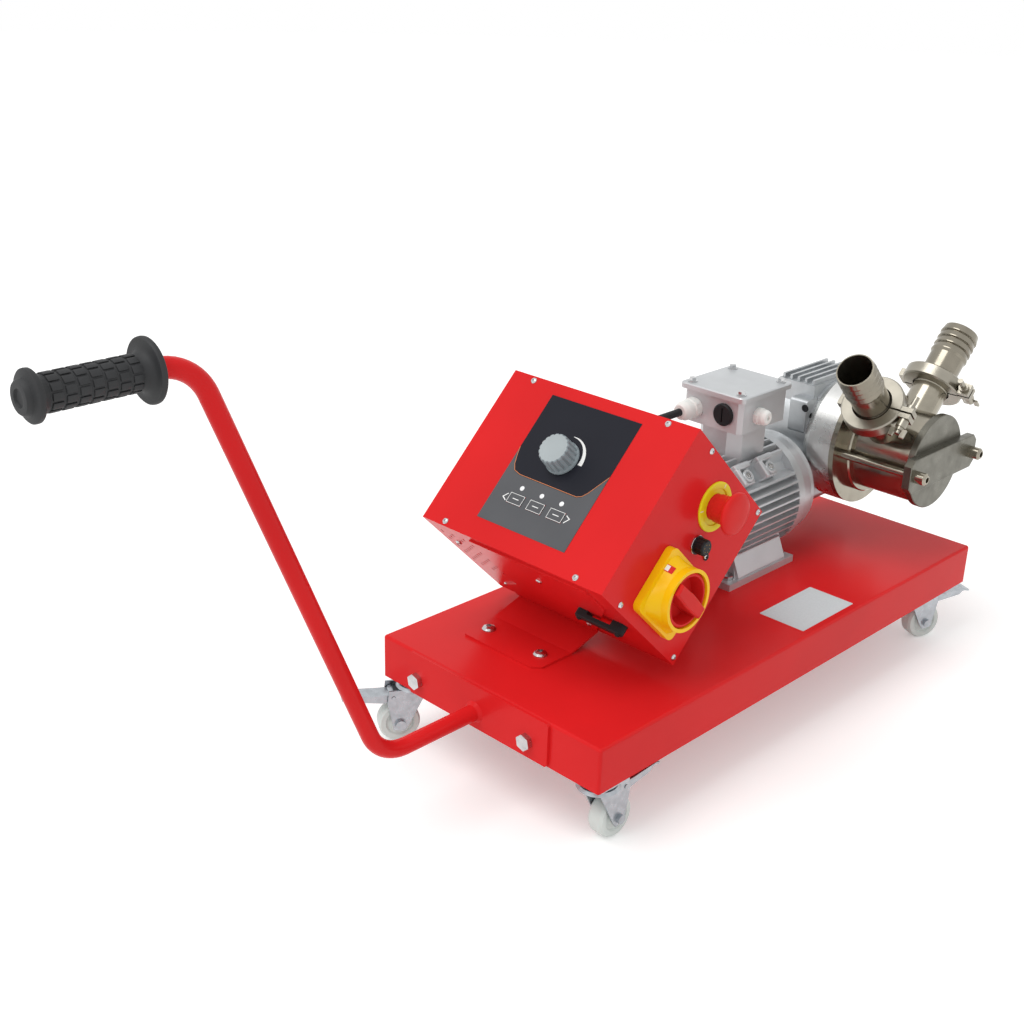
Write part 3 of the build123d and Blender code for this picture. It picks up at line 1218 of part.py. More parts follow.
def make_caster_plate(name):
    """Square top plate with the fixed race and the riveted kingpin."""
    half = caster_plate / 2
    plate = slab(-half, half, -half, half, caster_height - caster_plate_t, caster_height)
    plate = fillet(plate.edges().filter_by(Axis.Z), 5.0)
    race = turned([(0, crown_top + 0.4), (race_r - 4, crown_top + 0.4), (race_r, crown_top + 3),
                   (race_r, caster_height - caster_plate_t), (0, caster_height - caster_plate_t)], (0, 0, 0), (0, 0, 1))
    pin = up(kingpin_r, crown_bottom - 3, crown_top + 1)
    rivet = up(kingpin_r + 3.5, crown_bottom - running_gap - 2.6, crown_bottom - running_gap)
    x, y = caster_place[name]
    return Pos(x, y, 0) * (plate + race + pin + rivet)


def make_caster_fork(name):
    """Pressed fork with its crown, two arms and the axle."""
    crown = turned([(kingpin_r + running_gap, crown_bottom), (crown_r - 2, crown_bottom), (crown_r, crown_bottom + 1.5),
                    (crown_r - 3, crown_top), (kingpin_r + running_gap, crown_top)], (0, 0, 0), (0, 0, 1))
    fork = crown
    for s in (-1, 1):
        arm = Polyline((-14, crown_bottom + 2), (pedal_pivot_s + 6, crown_bottom + 2),
                       (pedal_pivot_s + 8, pedal_pivot_z - 8), (trail + 9, wheel_d / 2 - 8), (trail - 6, wheel_d / 2 - 10),
                       (trail - 12, wheel_d / 2 - 1),
                       close=True)
        y0 = fork_half if s > 0 else -fork_half - fork_t
        fork += Pos(0, y0 + fork_t, 0) * extrude(Plane.XZ * make_face(arm), fork_t)
    fork += slab(-14, 22, -fork_half - 1, fork_half + 1, crown_bottom, crown_bottom + 2.5) - up(
        kingpin_r + running_gap, 0, 100)
    reach = fork_half + fork_t
    fork += across(axle_r, -reach, reach, trail, wheel_d / 2)
    fork += across(7.0, reach, reach + 4.5, trail, wheel_d / 2) + across(6.0, -reach - 4.5, -reach, trail, wheel_d / 2)
    for s in (-1, 1):
        fork -= across(pedal_pin_r + running_gap, -60, 60, pedal_pivot_s, pedal_pivot_z)
    return in_caster(name, fork)


def make_caster_wheel(name):
    """Wheel with a rounded tread and a hub bore."""
    half = wheel_w / 2
    r = wheel_d / 2
    outline = [(axle_r + shaft_gap, -half - 1), (9, -half - 1), (9, -half), (13, -half + 2.5), (17, -half + 2.5),
               (19, -half), (r - 2.5, -half), (r, -half + 4), (r, half - 4), (r - 2.5, half), (19, half),
               (17, half - 2.5), (13, half - 2.5), (9, half), (9, half + 1), (axle_r + shaft_gap, half + 1)]
    return in_caster(name, turned(outline, (trail, 0, r), (0, 1, 0)))


def make_brake_pedal(name):
    """Brake pedal: pivot pin between the fork arms and a tread plate behind them."""
    half = pedal_w / 2
    pin = across(pedal_pin_r, -fork_half - fork_t - 1, fork_half + fork_t + 1, pedal_pivot_s, pedal_pivot_z)
    barrel = across(pedal_pin_r + 2.5, -half, half, pedal_pivot_s, pedal_pivot_z)
    tread = Polyline((pedal_pivot_s, pedal_pivot_z + 2), (pedal_pivot_s + 18, pedal_pivot_z + 2.5),
                     (pedal_pivot_s + pedal_len - 8, pedal_pivot_z + 5), (pedal_pivot_s + pedal_len, pedal_pivot_z + 3),
                     (pedal_pivot_s + pedal_len - 1, pedal_pivot_z + 0.5),
                     (pedal_pivot_s + pedal_len - 8, pedal_pivot_z + 2.4), (pedal_pivot_s + 18, pedal_pivot_z - 0.2),
                     (pedal_pivot_s, pedal_pivot_z - 1), close=True)
    pedal = pin + barrel + Pos(0, half, 0) * extrude(Plane.XZ * make_face(tread), pedal_w)
    cheek = Polyline((pedal_pivot_s, pedal_pivot_z), (pedal_pivot_s + pedal_len - 10, pedal_pivot_z + 4),
                     (pedal_pivot_s + pedal_len - 18, pedal_pivot_z - 3),
                     (pedal_pivot_s + 12, pedal_pivot_z - 9), (pedal_pivot_s, pedal_pivot_z - 6), close=True)
    for y in (half, pedal_cheek_t - half):
        pedal += Pos(0, y, 0) * extrude(Plane.XZ * make_face(cheek), pedal_cheek_t)
    return in_caster(name, pedal)


# =========================== write the nodes ====================================
if __name__ == "__main__":
    os.makedirs("parts", exist_ok=True)
    export(make_deck_tray(), "deck_tray")
    export(make_handle_plate(), "handle_plate")
    export(make_handle_tube(), "handle_tube")
    export(make_handle_grip(), "handle_grip")
    export(make_hex_bolts(), "hex_bolts")
    export(make_box_bracket(), "box_bracket")
    export(make_enclosure_body(), "enclosure_body")
    export(make_enclosure_front(), "enclosure_front")
    export(make_enclosure_side(), "enclosure_side")
    export(make_enclosure_screws() + make_bracket_bolts(), "button_screws")
    export(make_panel_overlay(), "panel_overlay")
    for i, key in enumerate(("key_left", "key_stop", "key_right")):
        export(make_key(i), key)
    export(make_speed_knob(), "speed_knob")
    export(make_estop_base(), "estop_base")
    export(make_estop_button(), "estop_button")
    export(make_isolator_body(), "isolator_body")
    export(make_isolator_knob(), "isolator_knob")
    export(make_connector_socket(), "connector_socket")
    export(make_cord_bridge(), "cord_bridge")
    export(make_cable_glands(), "cable_glands")
    export(make_blanking_plug(), "blanking_plug")
    export(make_motor_cable(), "motor_cable")
    export(make_terminal_box(), "terminal_box")
    export(make_terminal_lid(), "terminal_lid")
    export(make_lid_screws(), "lid_screws")
    export(make_motor_housing(), "motor_housing")
    export(make_motor_shield(), "motor_shield")
    export(make_fan_cover(), "fan_cover")
    export(make_gearbox_case(), "gearbox_case")
    export(make_worm_shaft(), "worm_shaft")
    export(make_worm_wheel(), "worm_wheel")
    export(make_adapter_housing(), "adapter_housing")
    export(make_pump_casing(), "pump_casing")
    export(make_pump_cover(), "pump_cover")
    export(make_clamp_plate(), "clamp_plate")
    export(make_tie_rods(), "tie_rods")
    export(make_hose_tails(), "hose_tails")
    export(make_port_clamps(), "port_clamps")
    export(make_seals(), "seals")
    export(make_wing_nut(-1), "wing_nut_front")
    export(make_wing_nut(1), "wing_nut_rear")
    for which in ("drive", "driven"):
        export(make_rotor(which), f"{which}_rotor")
        export(make_pump_shaft(which), f"{which}_shaft")
    export([make_caster_plate(name) for name in caster_place], "caster_plates")
    for name in caster_place:
        export(make_caster_fork(name), f"caster_fork_{name}")
        export(make_caster_wheel(name), f"caster_wheel_{name}")
        export(make_brake_pedal(name), f"brake_pedal_{name}")
    print("cable: radius", cable_bend, "mm, diameter", cable_d, "mm, length", round(cable_path().length, 1))
    print("tow tube: radius", tube_bend, "mm, length", round(handle_path().length, 1))
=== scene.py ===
import json
import math

import bmesh
import bpy
from bpy.props import FloatProperty, FloatVectorProperty, IntProperty, PointerProperty
from mathutils import Matrix, Vector


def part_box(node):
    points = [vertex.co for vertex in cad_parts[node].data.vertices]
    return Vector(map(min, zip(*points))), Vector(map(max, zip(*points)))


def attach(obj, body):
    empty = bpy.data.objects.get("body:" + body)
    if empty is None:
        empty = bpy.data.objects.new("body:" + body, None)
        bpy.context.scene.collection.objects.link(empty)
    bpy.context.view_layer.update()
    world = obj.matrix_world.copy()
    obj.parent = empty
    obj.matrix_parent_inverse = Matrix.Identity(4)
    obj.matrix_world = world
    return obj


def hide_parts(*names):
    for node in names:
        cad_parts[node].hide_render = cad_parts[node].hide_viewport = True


bl_info = {
    "name": "Rotary lobe pump trolley",
    "version": (1, 0, 0),
    "blender": (4, 5, 0),
    "location": "View3D > Sidebar > Pump",
    "description": "Finishes and fine pieces for a trolley-mounted rotary lobe pump",
    "category": "Add Mesh",
}

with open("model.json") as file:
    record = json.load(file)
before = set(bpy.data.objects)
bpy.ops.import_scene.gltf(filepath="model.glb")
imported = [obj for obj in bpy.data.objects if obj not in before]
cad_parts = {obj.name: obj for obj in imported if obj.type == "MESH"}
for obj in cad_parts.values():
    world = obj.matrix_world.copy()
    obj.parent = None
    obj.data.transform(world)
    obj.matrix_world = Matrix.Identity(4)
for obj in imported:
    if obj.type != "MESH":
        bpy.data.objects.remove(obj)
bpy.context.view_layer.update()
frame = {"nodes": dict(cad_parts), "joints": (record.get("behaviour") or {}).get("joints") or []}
NODES = frame["nodes"]
JOINTS = {j["name"]: j for j in frame["joints"]}
MM = 0.001


# ------------------------------------------------------------------ small tools
def linear(hex_colour):
    """A hex sRGB colour as linear RGBA."""
    channels = []
    for i in (1, 3, 5):
        c = int(hex_colour[i:i + 2], 16) / 255.0
        channels.append(c / 12.92 if c <= 0.04045 else ((c + 0.055) / 1.055) ** 2.4)
    return (*channels, 1.0)


def node(material, kind, inputs=None, stops=(), **settings):
    """Add a shader node with its settings, set or link its inputs, and lay out a ramp's stops."""
    made = material.node_tree.nodes.new(kind)
    for name, value in settings.items():
        setattr(made, name, value)
    for name, value in (inputs or {}).items():
        socket = made.inputs[name]
        if isinstance(value, bpy.types.NodeSocket):
            material.node_tree.links.new(value, socket)
        else:
            socket.default_value = value
    for element, (position, colour) in zip(made.color_ramp.elements if stops else (), stops):
        element.position = position
        element.color = colour
    return made


def new_material(name):
    """An empty node material."""
    material = bpy.data.materials.new(name)
    material.use_nodes = True
    material.node_tree.nodes.clear()
    return material


def surface(material, **inputs):
    """Close a material with a Principled shader; names use _ for spaces."""
    shader = node(material, "ShaderNodeBsdfPrincipled",
                  {key.replace("_", " "): value for key, value in inputs.items()})
    node(material, "ShaderNodeOutputMaterial", {"Surface": shader.outputs["BSDF"]})
    return material


def grain(material, size_mm, detail=3.0, stretch=(1.0, 1.0, 1.0)):
    """A noise value with features of a real size, on Object coordinates."""
    place = node(material, "ShaderNodeTexCoord")
    mapping = node(material, "ShaderNodeMapping", {"Vector": place.outputs["Object"], "Scale": stretch})
    return node(material, "ShaderNodeTexNoise", {
        "Vector": mapping.outputs["Vector"], "Scale": 1.0 / (size_mm * MM), "Detail": detail}).outputs["Fac"]


def mottle(material, colour, size_mm, dark, light, detail=3.0):
    """A colour that drifts between a darker and a lighter shade over a real size."""
    r, g, b, a = linear(colour)
    shades = [tuple(min(1.0, c * factor) for c in (r, g, b)) + (a,) for factor in (dark, light)]
    return node(material, "ShaderNodeValToRGB", {"Fac": grain(material, size_mm, detail)},
                [(0.3, shades[0]), (0.7, shades[1])]).outputs["Color"]


def relief(material, size_mm, depth_mm, detail=3.0, stretch=(1.0, 1.0, 1.0)):
    """A normal from bumps of a real size and depth."""
    return node(material, "ShaderNodeBump", {
        "Height": grain(material, size_mm, detail, stretch), "Distance": depth_mm * MM}).outputs["Normal"]


def polish(material, roughness, size_mm, spread):
    """A roughness that varies about a value in patches of a real size."""
    dull, bright = roughness * (1 + spread), roughness * (1 - spread)
    return node(material, "ShaderNodeValToRGB", {"Fac": grain(material, size_mm)},
                [(0.3, (dull, dull, dull, 1.0)), (0.75, (bright, bright, bright, 1.0))]).outputs["Color"]


# ------------------------------------------------------------------ finishes
def powder_coat(name, colour):
    """Powder coat on sheet steel: glossy, with a faint orange-peel ripple."""
    material = new_material(name)
    return surface(material, Base_Color=mottle(material, colour, 160.0, 0.93, 1.05, 2.0),
                   Roughness=0.24, Specular_IOR_Level=0.09, Normal=relief(material, 2.4, 0.04, 1.5))


def moulded_rubber(name, colour):
    """Moulded rubber: matt and dark, dusty in patches, with a fine tooth that breaks the highlight."""
    material = new_material(name)
    return surface(material, Base_Color=mottle(material, colour, 30.0, 0.8, 1.3), Roughness=0.62,
                   Normal=relief(material, 0.9, 0.06))


def moulded_plastic(name, colour, roughness=0.35, tooth_mm=0.6, gloss=0.22):
    """Injection-moulded plastic: even colour with a light spark-eroded texture."""
    material = new_material(name)
    return surface(material, Base_Color=mottle(material, colour, 45.0, 0.95, 1.04, 2.0),
                   Roughness=roughness, Specular_IOR_Level=gloss,
                   Normal=relief(material, tooth_mm, 0.02, 2.0))


def turned_metal(name, colour, axis, roughness=0.2, pitch_mm=1.6):
    """Turned metal: fine tool rings across the lathe axis, bright with soft streaks.
    The rings are drawn 1.6 mm or more apart, because the real feed marks are too fine to show."""
    material = new_material(name)
    stretch = tuple(1.0 if letter == axis else 0.004 for letter in "XYZ")
    # Metallic is held a little below 1 so some colour shows as diffuse: painted light that lifts the shaded
    # insides of tubes and bores
    return surface(material, Base_Color=mottle(material, colour, 22.0, 0.88, 1.08), Metallic=0.93,
                   Roughness=polish(material, roughness, 22.0, 0.35),
                   Normal=relief(material, pitch_mm, 0.004, 0.0, stretch))


def cast_metal(name, colour, roughness=0.42, grit_mm=1.3, depth_mm=0.12):
    """Cast metal: matt and granular from the mould, a little cloudy."""
    material = new_material(name)
    return surface(material, Base_Color=mottle(material, colour, 38.0, 0.84, 1.1), Metallic=1.0,
                   Roughness=roughness, Normal=relief(material, grit_mm, depth_mm))


def silver_paint(name, colour):
    """Silver paint over cast aluminium: metal flakes under lacquer, on a slightly rough casting."""
    material = new_material(name)
    return surface(material, Base_Color=mottle(material, colour, 55.0, 0.92, 1.05), Metallic=0.4,
                   Roughness=0.38, Coat_Weight=0.15, Coat_Roughness=0.3, Normal=relief(material, 2.2, 0.07))


def zinc_plate(name, colour, roughness=0.28):
    """Bright zinc plating: bluish silver, cloudy where the passivation varies."""
    material = new_material(name)
    return surface(material, Base_Color=mottle(material, colour, 9.0, 0.85, 1.06), Metallic=1.0,
                   Roughness=polish(material, roughness, 9.0, 0.25), Normal=relief(material, 9.0, 0.03))


def ink(name, colour, roughness=0.4):
    """Screen-printed ink or a plain lamp lens: one even colour with a trace of mottle."""
    material = new_material(name)
    return surface(material, Base_Color=mottle(material, colour, 3.0, 0.96, 1.03, 2.0), Roughness=roughness)


# ------------------------------------------------------------------ sizes and colours
class PumpFinish(bpy.types.PropertyGroup):
    """Colours that a user would change; sRGB."""
    coat: FloatVectorProperty(name="Powder coat", description="Colour of deck, handle and control box",
                              subtype="COLOR_GAMMA", size=3, default=(0.86, 0.14, 0.15), min=0, max=1)
    foil: FloatVectorProperty(name="Foil", description="Lower field of the front foil",
                              subtype="COLOR_GAMMA", size=3, default=(0.345, 0.35, 0.36), min=0, max=1)
    field: FloatVectorProperty(name="Dark field", description="Upper field of the front foil",
                               subtype="COLOR_GAMMA", size=3, default=(0.12, 0.125, 0.155), min=0, max=1)
    safety: FloatVectorProperty(name="Safety yellow", description="Emergency-stop ring and isolator housing",
                                subtype="COLOR_GAMMA", size=3, default=(0.985, 0.79, 0.05), min=0, max=1)


class PumpSizes(bpy.types.PropertyGroup):
    """Sizes of the pieces that are made here."""
    knob_flutes: IntProperty(name="Knob flutes", description="Hollows round the speed knob",
                             default=18, min=8, max=36)
    tread_rows: IntProperty(name="Tread rows", description="Rows of tread blocks along the grip",
                            default=7, min=3, max=12)
    tread_blocks: IntProperty(name="Tread blocks", description="Blocks round the grip",
                              default=12, min=6, max=20)
    tread_groove: FloatProperty(name="Tread groove", description="Groove between two blocks",
                                subtype="DISTANCE", unit="LENGTH", default=2.2 * MM)
    print_height: FloatProperty(name="Print height", description="Thickness of printed marks",
                                subtype="DISTANCE", unit="LENGTH", default=0.12 * MM)
    line_width: FloatProperty(name="Printed line", description="Width of the key outlines",
                              subtype="DISTANCE", unit="LENGTH", default=0.6 * MM)
    lamp_diameter: FloatProperty(name="Lamp", description="Diameter of a panel lamp",
                                 subtype="DISTANCE", unit="LENGTH", default=6.6 * MM)
    label_x: FloatProperty(name="Plate width", description="Bare rating plate across the deck",
                           subtype="DISTANCE", unit="LENGTH", default=71 * MM)
    label_y: FloatProperty(name="Plate length", description="Bare rating plate along the deck",
                           subtype="DISTANCE", unit="LENGTH", default=122 * MM)


def hex_of(colour):
    """An sRGB colour property as a hex string."""
    return "#" + "".join(f"{round(max(0, min(1, c)) * 255):02X}" for c in colour)


def finishes(context):
    """Every finish, made once."""
    if "Red powder coat" in bpy.data.materials:
        return {m.name: m for m in bpy.data.materials}
    look = context.scene.pump_finish
    coat = hex_of(look.coat)
    powder_coat("Red powder coat", coat)
    moulded_rubber("Black grip rubber", "#222325")
    moulded_rubber("Black sealing rubber", "#1B1C1E")
    zinc_plate("Bright zinc fastener", "#C9CACB", 0.22)
    zinc_plate("Zinc pressed steel", "#B4B9BE", 0.3)
    moulded_plastic("Satin foil, grey", hex_of(look.foil), 0.5, 0.5, 0.2)
    moulded_plastic("Satin foil, charcoal", hex_of(look.field), 0.48, 0.5, 0.12)
    moulded_plastic("Knob grey", "#8F9A9F", 0.42, 0.7)
    moulded_plastic("Knob cap", "#A9B1B3", 0.4, 0.7)
    moulded_plastic("Safety yellow", hex_of(look.safety), 0.3)
    moulded_plastic("Lemon backing plate", "#EBE31F", 0.36)
    moulded_plastic("Safety red", "#D92A28", 0.36, 0.6, 0.1)
    moulded_plastic("Black nylon", "#1D1E20", 0.45)
    moulded_plastic("White nylon", "#EDEEEA", 0.4)
    moulded_plastic("Wheel nylon", "#DCE2DE", 0.36, 0.9)
    moulded_plastic("Cable sheath", "#202124", 0.5)
    silver_paint("Silver motor paint", "#C3C6C8")
    cast_metal("Sand-cast aluminium", "#BEC1C3", 0.42)
    # The stainless colours are darker and browner than bare stainless: partly the steel's own warm grey,
    # partly painted dark reflection of surroundings the metal would mirror
    cast_metal("Investment-cast stainless", "#A29D91", 0.3, 1.0, 0.05)
    cast_metal("Cast bronze", "#B08A4A", 0.35)
    turned_metal("Turned aluminium", "#DADAD8", "X", 0.3, 2.4)
    # Turned, ground and drawn stainless: base colours darkened as painted dark reflection, on top of the
    # steel's warm grey
    turned_metal("Turned stainless", "#A09A8C", "X", 0.17)
    turned_metal("Ground stainless plate", "#727067", "Y", 0.34)
    turned_metal("Drawn stainless tube", "#8F897C", "Z", 0.2, 2.0)
    turned_metal("Ground steel", "#9FA1A3", "Y", 0.25)
    ink("White ink", "#F1F1EF")
    ink("Copper ink", "#D9814C", 0.3)
    ink("Lamp lens", "#F4F5F6", 0.15)
    ink("Anodised label", "#CFD4D6", 0.45)
    return {m.name: m for m in bpy.data.materials}


# ------------------------------------------------------------------ frames on the object
def unit(vector):
    return Vector(vector).normalized()


def panel_frame():
    """Frame on the sloping front at the speed knob: x along the box, y up the front, z out."""
    joint = JOINTS["speed_turn"]
    out = unit(joint["axis"])
    x = Vector((1, 0, 0))
    return frame_at(joint["pos_m"], x, out.cross(x), out)


def side_frame(joint_name="isolator_turn"):
    """Frame on the right cover: x up the front's slope, y towards the front, z out."""
    out = Vector((1, 0, 0))
    slope = panel_frame().to_3x3() @ Vector((0, 1, 0))
    return frame_at(JOINTS[joint_name]["pos_m"], slope, out.cross(slope), out)


def frame_at(origin, x, y, z):
    """A matrix from an origin and three axes."""
    m = Matrix.Identity(4)
    for i, axis in enumerate((x, y, z)):
        for row in range(3):
            m[row][i] = axis[row]
    m.translation = Vector(origin)
    return m


def finish_piece(name, bm, material, body, place=None, smooth_deg=35.0):
    """Turn a bmesh into a placed piece that rides on a body."""
    if place is not None:
        bmesh.ops.transform(bm, matrix=place, verts=bm.verts)
    bmesh.ops.remove_doubles(bm, verts=bm.verts, dist=1e-6)
    bmesh.ops.recalc_face_normals(bm, faces=bm.faces)
    bm.normal_update()
    limit = math.radians(smooth_deg)
    for face in bm.faces:
        face.smooth = smooth_deg > 0
    for edge in bm.edges:
        if len(edge.link_faces) == 2 and edge.calc_face_angle(0.0) > limit:
            edge.smooth = False
    mesh = bpy.data.meshes.new(name)
    bm.to_mesh(mesh)
    bm.free()
    mesh.materials.append(material)
    piece = bpy.data.objects.new(name, mesh)
    bpy.context.scene.collection.objects.link(piece)
    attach(piece, body)
    return piece


def in_metres(points):
    """A list of points given in millimetres, in metres."""
    return [(x * MM, y * MM) for x, y in points]


def on_circle(radius, angle):
    """The point of a circle about the origin at an angle."""
    return radius * math.cos(angle), radius * math.sin(angle)


def flat_shape(bm, points, low, high):
    """A closed outline, extruded between two heights."""
    verts = [bm.verts.new((x, y, low)) for x, y in points]
    face = bm.faces.new(verts)
    grown = bmesh.ops.extrude_face_region(bm, geom=[face])
    top = [v for v in grown["geom"] if isinstance(v, bmesh.types.BMVert)]
    bmesh.ops.translate(bm, vec=(0, 0, high - low), verts=top)


def ribbon(bm, points, width, low, high, closed=False):
    """A printed line: an open or closed path given a width and a height."""
    count = len(points)
    sides = []
    for i, p in enumerate(points):
        before = points[i - 1] if i or closed else p
        after = points[(i + 1) % count] if i < count - 1 or closed else p
        a = (Vector(p) - Vector(before)).normalized() if Vector(p) != Vector(before) else None
        b = (Vector(after) - Vector(p)).normalized() if Vector(after) != Vector(p) else None
        a, b = a or b, b or a
        across = Vector((-(a.y + b.y), a.x + b.x)).normalized()
        reach = width / 2 / max(0.4, across.dot(Vector((-a.y, a.x))))
        sides.append((Vector(p) + across * reach, Vector(p) - across * reach))
    for i in range(count if closed else count - 1):
        (a0, a1), (b0, b1) = sides[i], sides[(i + 1) % count]
        flat_shape(bm, [a0, a1, b1, b0], low, high)


def merge(bm, other):
    """Add one bmesh to another and free it."""
    mesh = bpy.data.meshes.new("part")
    other.to_mesh(mesh)
    other.free()
    bm.from_mesh(mesh)
    bpy.data.meshes.remove(mesh)


def side_spot(up, deep):
    """A point on the right cover, from the isolator's own place at 60 up and 110 deep."""
    place = side_frame()
    return place @ Vector(((up - 60.0) * MM, (110.0 - deep) * MM, 0.0))


def lathe(bm, profile, steps):
    """A turned shape about Z from (radius, height) pairs in millimetres."""
    verts = [bm.verts.new((r * MM, 0, z * MM)) for r, z in profile]
    edges = [bm.edges.new(pair) for pair in zip(verts, verts[1:])]
    bmesh.ops.spin(bm, geom=verts + edges, cent=(0, 0, 0), axis=(0, 0, 1), angle=2 * math.pi,
                   steps=steps, use_merge=True, use_duplicate=False)
    bmesh.ops.remove_doubles(bm, verts=bm.verts, dist=1e-6)


# ------------------------------------------------------------------ operators
class PUMP_OT_finish_nodes(bpy.types.Operator):
    """Give every part its real finish"""
    bl_idname = "pump.finish_nodes"
    bl_label = "Finish the parts"

    def execute(self, context):
        made = finishes(context)
        table = {
            "Red powder coat": ["deck_tray", "handle_plate", "handle_tube", "box_bracket", "enclosure_body",
                                "enclosure_front", "enclosure_side"],
            "Black grip rubber": ["handle_grip"],
            "Bright zinc fastener": ["hex_bolts", "button_screws", "lid_screws"],
            "Satin foil, grey": ["panel_overlay", "key_left", "key_stop", "key_right"],
            "Knob grey": ["speed_knob"],
            "Safety yellow": ["estop_base", "isolator_body"],
            "Safety red": ["estop_button", "isolator_knob"],
            "Ground steel": ["worm_shaft", "drive_shaft", "driven_shaft"],
            "Black nylon": ["connector_socket", "cord_bridge", "blanking_plug"],
            "White nylon": ["cable_glands"],
            "Cable sheath": ["motor_cable"],
            "Silver motor paint": ["terminal_box", "terminal_lid", "motor_housing", "motor_shield",
                                   "fan_cover"],
            "Sand-cast aluminium": ["gearbox_case"],
            "Cast bronze": ["worm_wheel"],
            "Turned aluminium": ["adapter_housing"],
            "Turned stainless": ["pump_casing", "tie_rods", "drive_rotor", "driven_rotor"],
            "Ground stainless plate": ["pump_cover", "clamp_plate"],
            "Drawn stainless tube": ["hose_tails"],
            "Investment-cast stainless": ["port_clamps", "wing_nut_front", "wing_nut_rear"],
            "Black sealing rubber": ["seals"],
            "Zinc pressed steel": [n for n in NODES
                                   if n.startswith(("caster_plates", "caster_fork", "brake_pedal"))],
            "Wheel nylon": [n for n in NODES if n.startswith("caster_wheel")],
        }
        for name, nodes in table.items():
            for n in nodes:
                NODES[n].data.materials.clear()
                NODES[n].data.materials.append(made[name])
        left = [n for n in NODES if not any(n in ns for ns in table.values())]
        if left:
            raise RuntimeError(f"no finish for {left}")
        return {"FINISHED"}


class PUMP_OT_front_foil(bpy.types.Operator):
    """Print on the front foil: dark field, copper lines, scale, key outlines and lamps"""
    bl_idname = "pump.front_foil"
    bl_label = "Front foil"

    def execute(self, context):
        sizes = context.scene.pump_sizes
        made = finishes(context)
        place = panel_frame()
        foil_low, foil_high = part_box("panel_overlay")
        # the foil's own corners, seen from the knob
        inverse = place.inverted()
        left = (inverse @ foil_low).x
        right = (inverse @ foil_high).x
        foil_thick = 0.6 * MM
        slope = math.sqrt(0.5)
        top = (foil_high.z - foil_thick * slope - place.translation.z) / slope
        sunk = 0.02 * MM
        low, high = foil_thick - sunk, foil_thick + sizes.print_height
        # the dark field: lower edge from left to right, with a hole for the knob's spindle
        edge = in_metres([(-70.2, -5), (-67.5, -15), (-62.5, -29), (-57, -36.5), (-46, -39.5), (49.5, -40.5),
                          (56.5, -37.5), (62, -31), (77.5, -3.5)])
        edge[0] = (left, edge[0][1])
        edge[-1] = (right, edge[-1][1])
        spindle_hole = 4.2 * MM
        hole = [on_circle(spindle_hole, math.pi * (1 - i / 12)) for i in range(13)]
        hole_low = [(x, -y) for x, y in reversed(hole)]
        bm = bmesh.new()
        flat_shape(bm, [(left, top), (left, 0.0)] + hole + [(right, 0.0), (right, top)], low, high)
        flat_shape(bm, [(left, 0.0)] + edge + [(right, 0.0)] + hole_low, low, high)
        finish_piece("foil_dark_field", bm, made["Satin foil, charcoal"], "trolley", place, 0)
        bm = bmesh.new()
        copper_width, copper_inset = 0.7 * MM, 0.9 * MM
        ribbon(bm, [(x, y + copper_inset) for x, y in edge], copper_width, high, high + sizes.print_height)
        finish_piece("foil_copper_line", bm, made["Copper ink"], "trolley", place, 0)
        # scale: a tapering white arc on the knob's right
        bm = bmesh.new()
        scale_r, thin_end, thick_end = 31.5 * MM, 0.7, 6.3
        outer, inner = [], []
        for i in range(25):
            t = i / 24
            a = math.radians(95 - 98 * t)
            width = (thin_end + (thick_end - thin_end) * t) * MM
            outer.append(on_circle(scale_r, a))
            inner.append(on_circle(scale_r - width, a))
        flat_shape(bm, outer + inner[::-1], high, high + sizes.print_height)
        finish_piece("foil_scale", bm, made["White ink"], "trolley", place, 0)
        # chevrons outside the keys
        bm = bmesh.new()
        chevron_width = 1.3 * MM
        for chevron in ([(-45.2, -66.3), (-50.6, -72.4), (-44.1, -76.1)],
                        [(52.0, -65.6), (58.4, -68.6), (53.0, -75.6)]):
            ribbon(bm, in_metres(chevron), chevron_width, low, high)
        finish_piece("foil_chevrons", bm, made["White ink"], "trolley", place, 0)
        # lamps above the keys
        bm = bmesh.new()
        lamp_row = -54.4 * MM
        for x in (-30.4, 3.1, 35.9):
            r = sizes.lamp_diameter / 2 / MM
            dome = bmesh.new()
            lathe(dome, [(0, 0.75), (r * 0.6, 0.68), (r * 0.92, 0.45), (r, 0.1), (r, -0.02)], 24)
            bmesh.ops.translate(dome, vec=(x * MM, lamp_row, foil_thick), verts=dome.verts)
            merge(bm, dome)
        finish_piece("panel_lamps", bm, made["Lamp lens"], "trolley", place)
        # a white outline and a dash on each key
        key_top, key_height, margin = 1.4 * MM, 14 * MM, 0.4 * MM
        dash_reach, dash_width = 5 * MM, 1.1 * MM
        for key in ("key_left", "key_stop", "key_right"):
            a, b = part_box(key)
            centre = inverse @ ((a + b) / 2)
            half_w = (b.x - a.x) / 2 - margin
            half_h = key_height / 2 - margin
            corners = [(centre.x + i * half_w, centre.y + j * half_h)
                       for i, j in ((-1, -1), (1, -1), (1, 1), (-1, 1))]
            bm = bmesh.new()
            low, high = key_top - sunk, key_top + sizes.print_height
            ribbon(bm, corners, sizes.line_width, low, high, closed=True)
            dash = [(centre.x - dash_reach, centre.y), (centre.x + dash_reach, centre.y)]
            ribbon(bm, dash, dash_width, low, high)
            finish_piece(key + "_mark", bm, made["White ink"], key, place, 0)
        return {"FINISHED"}


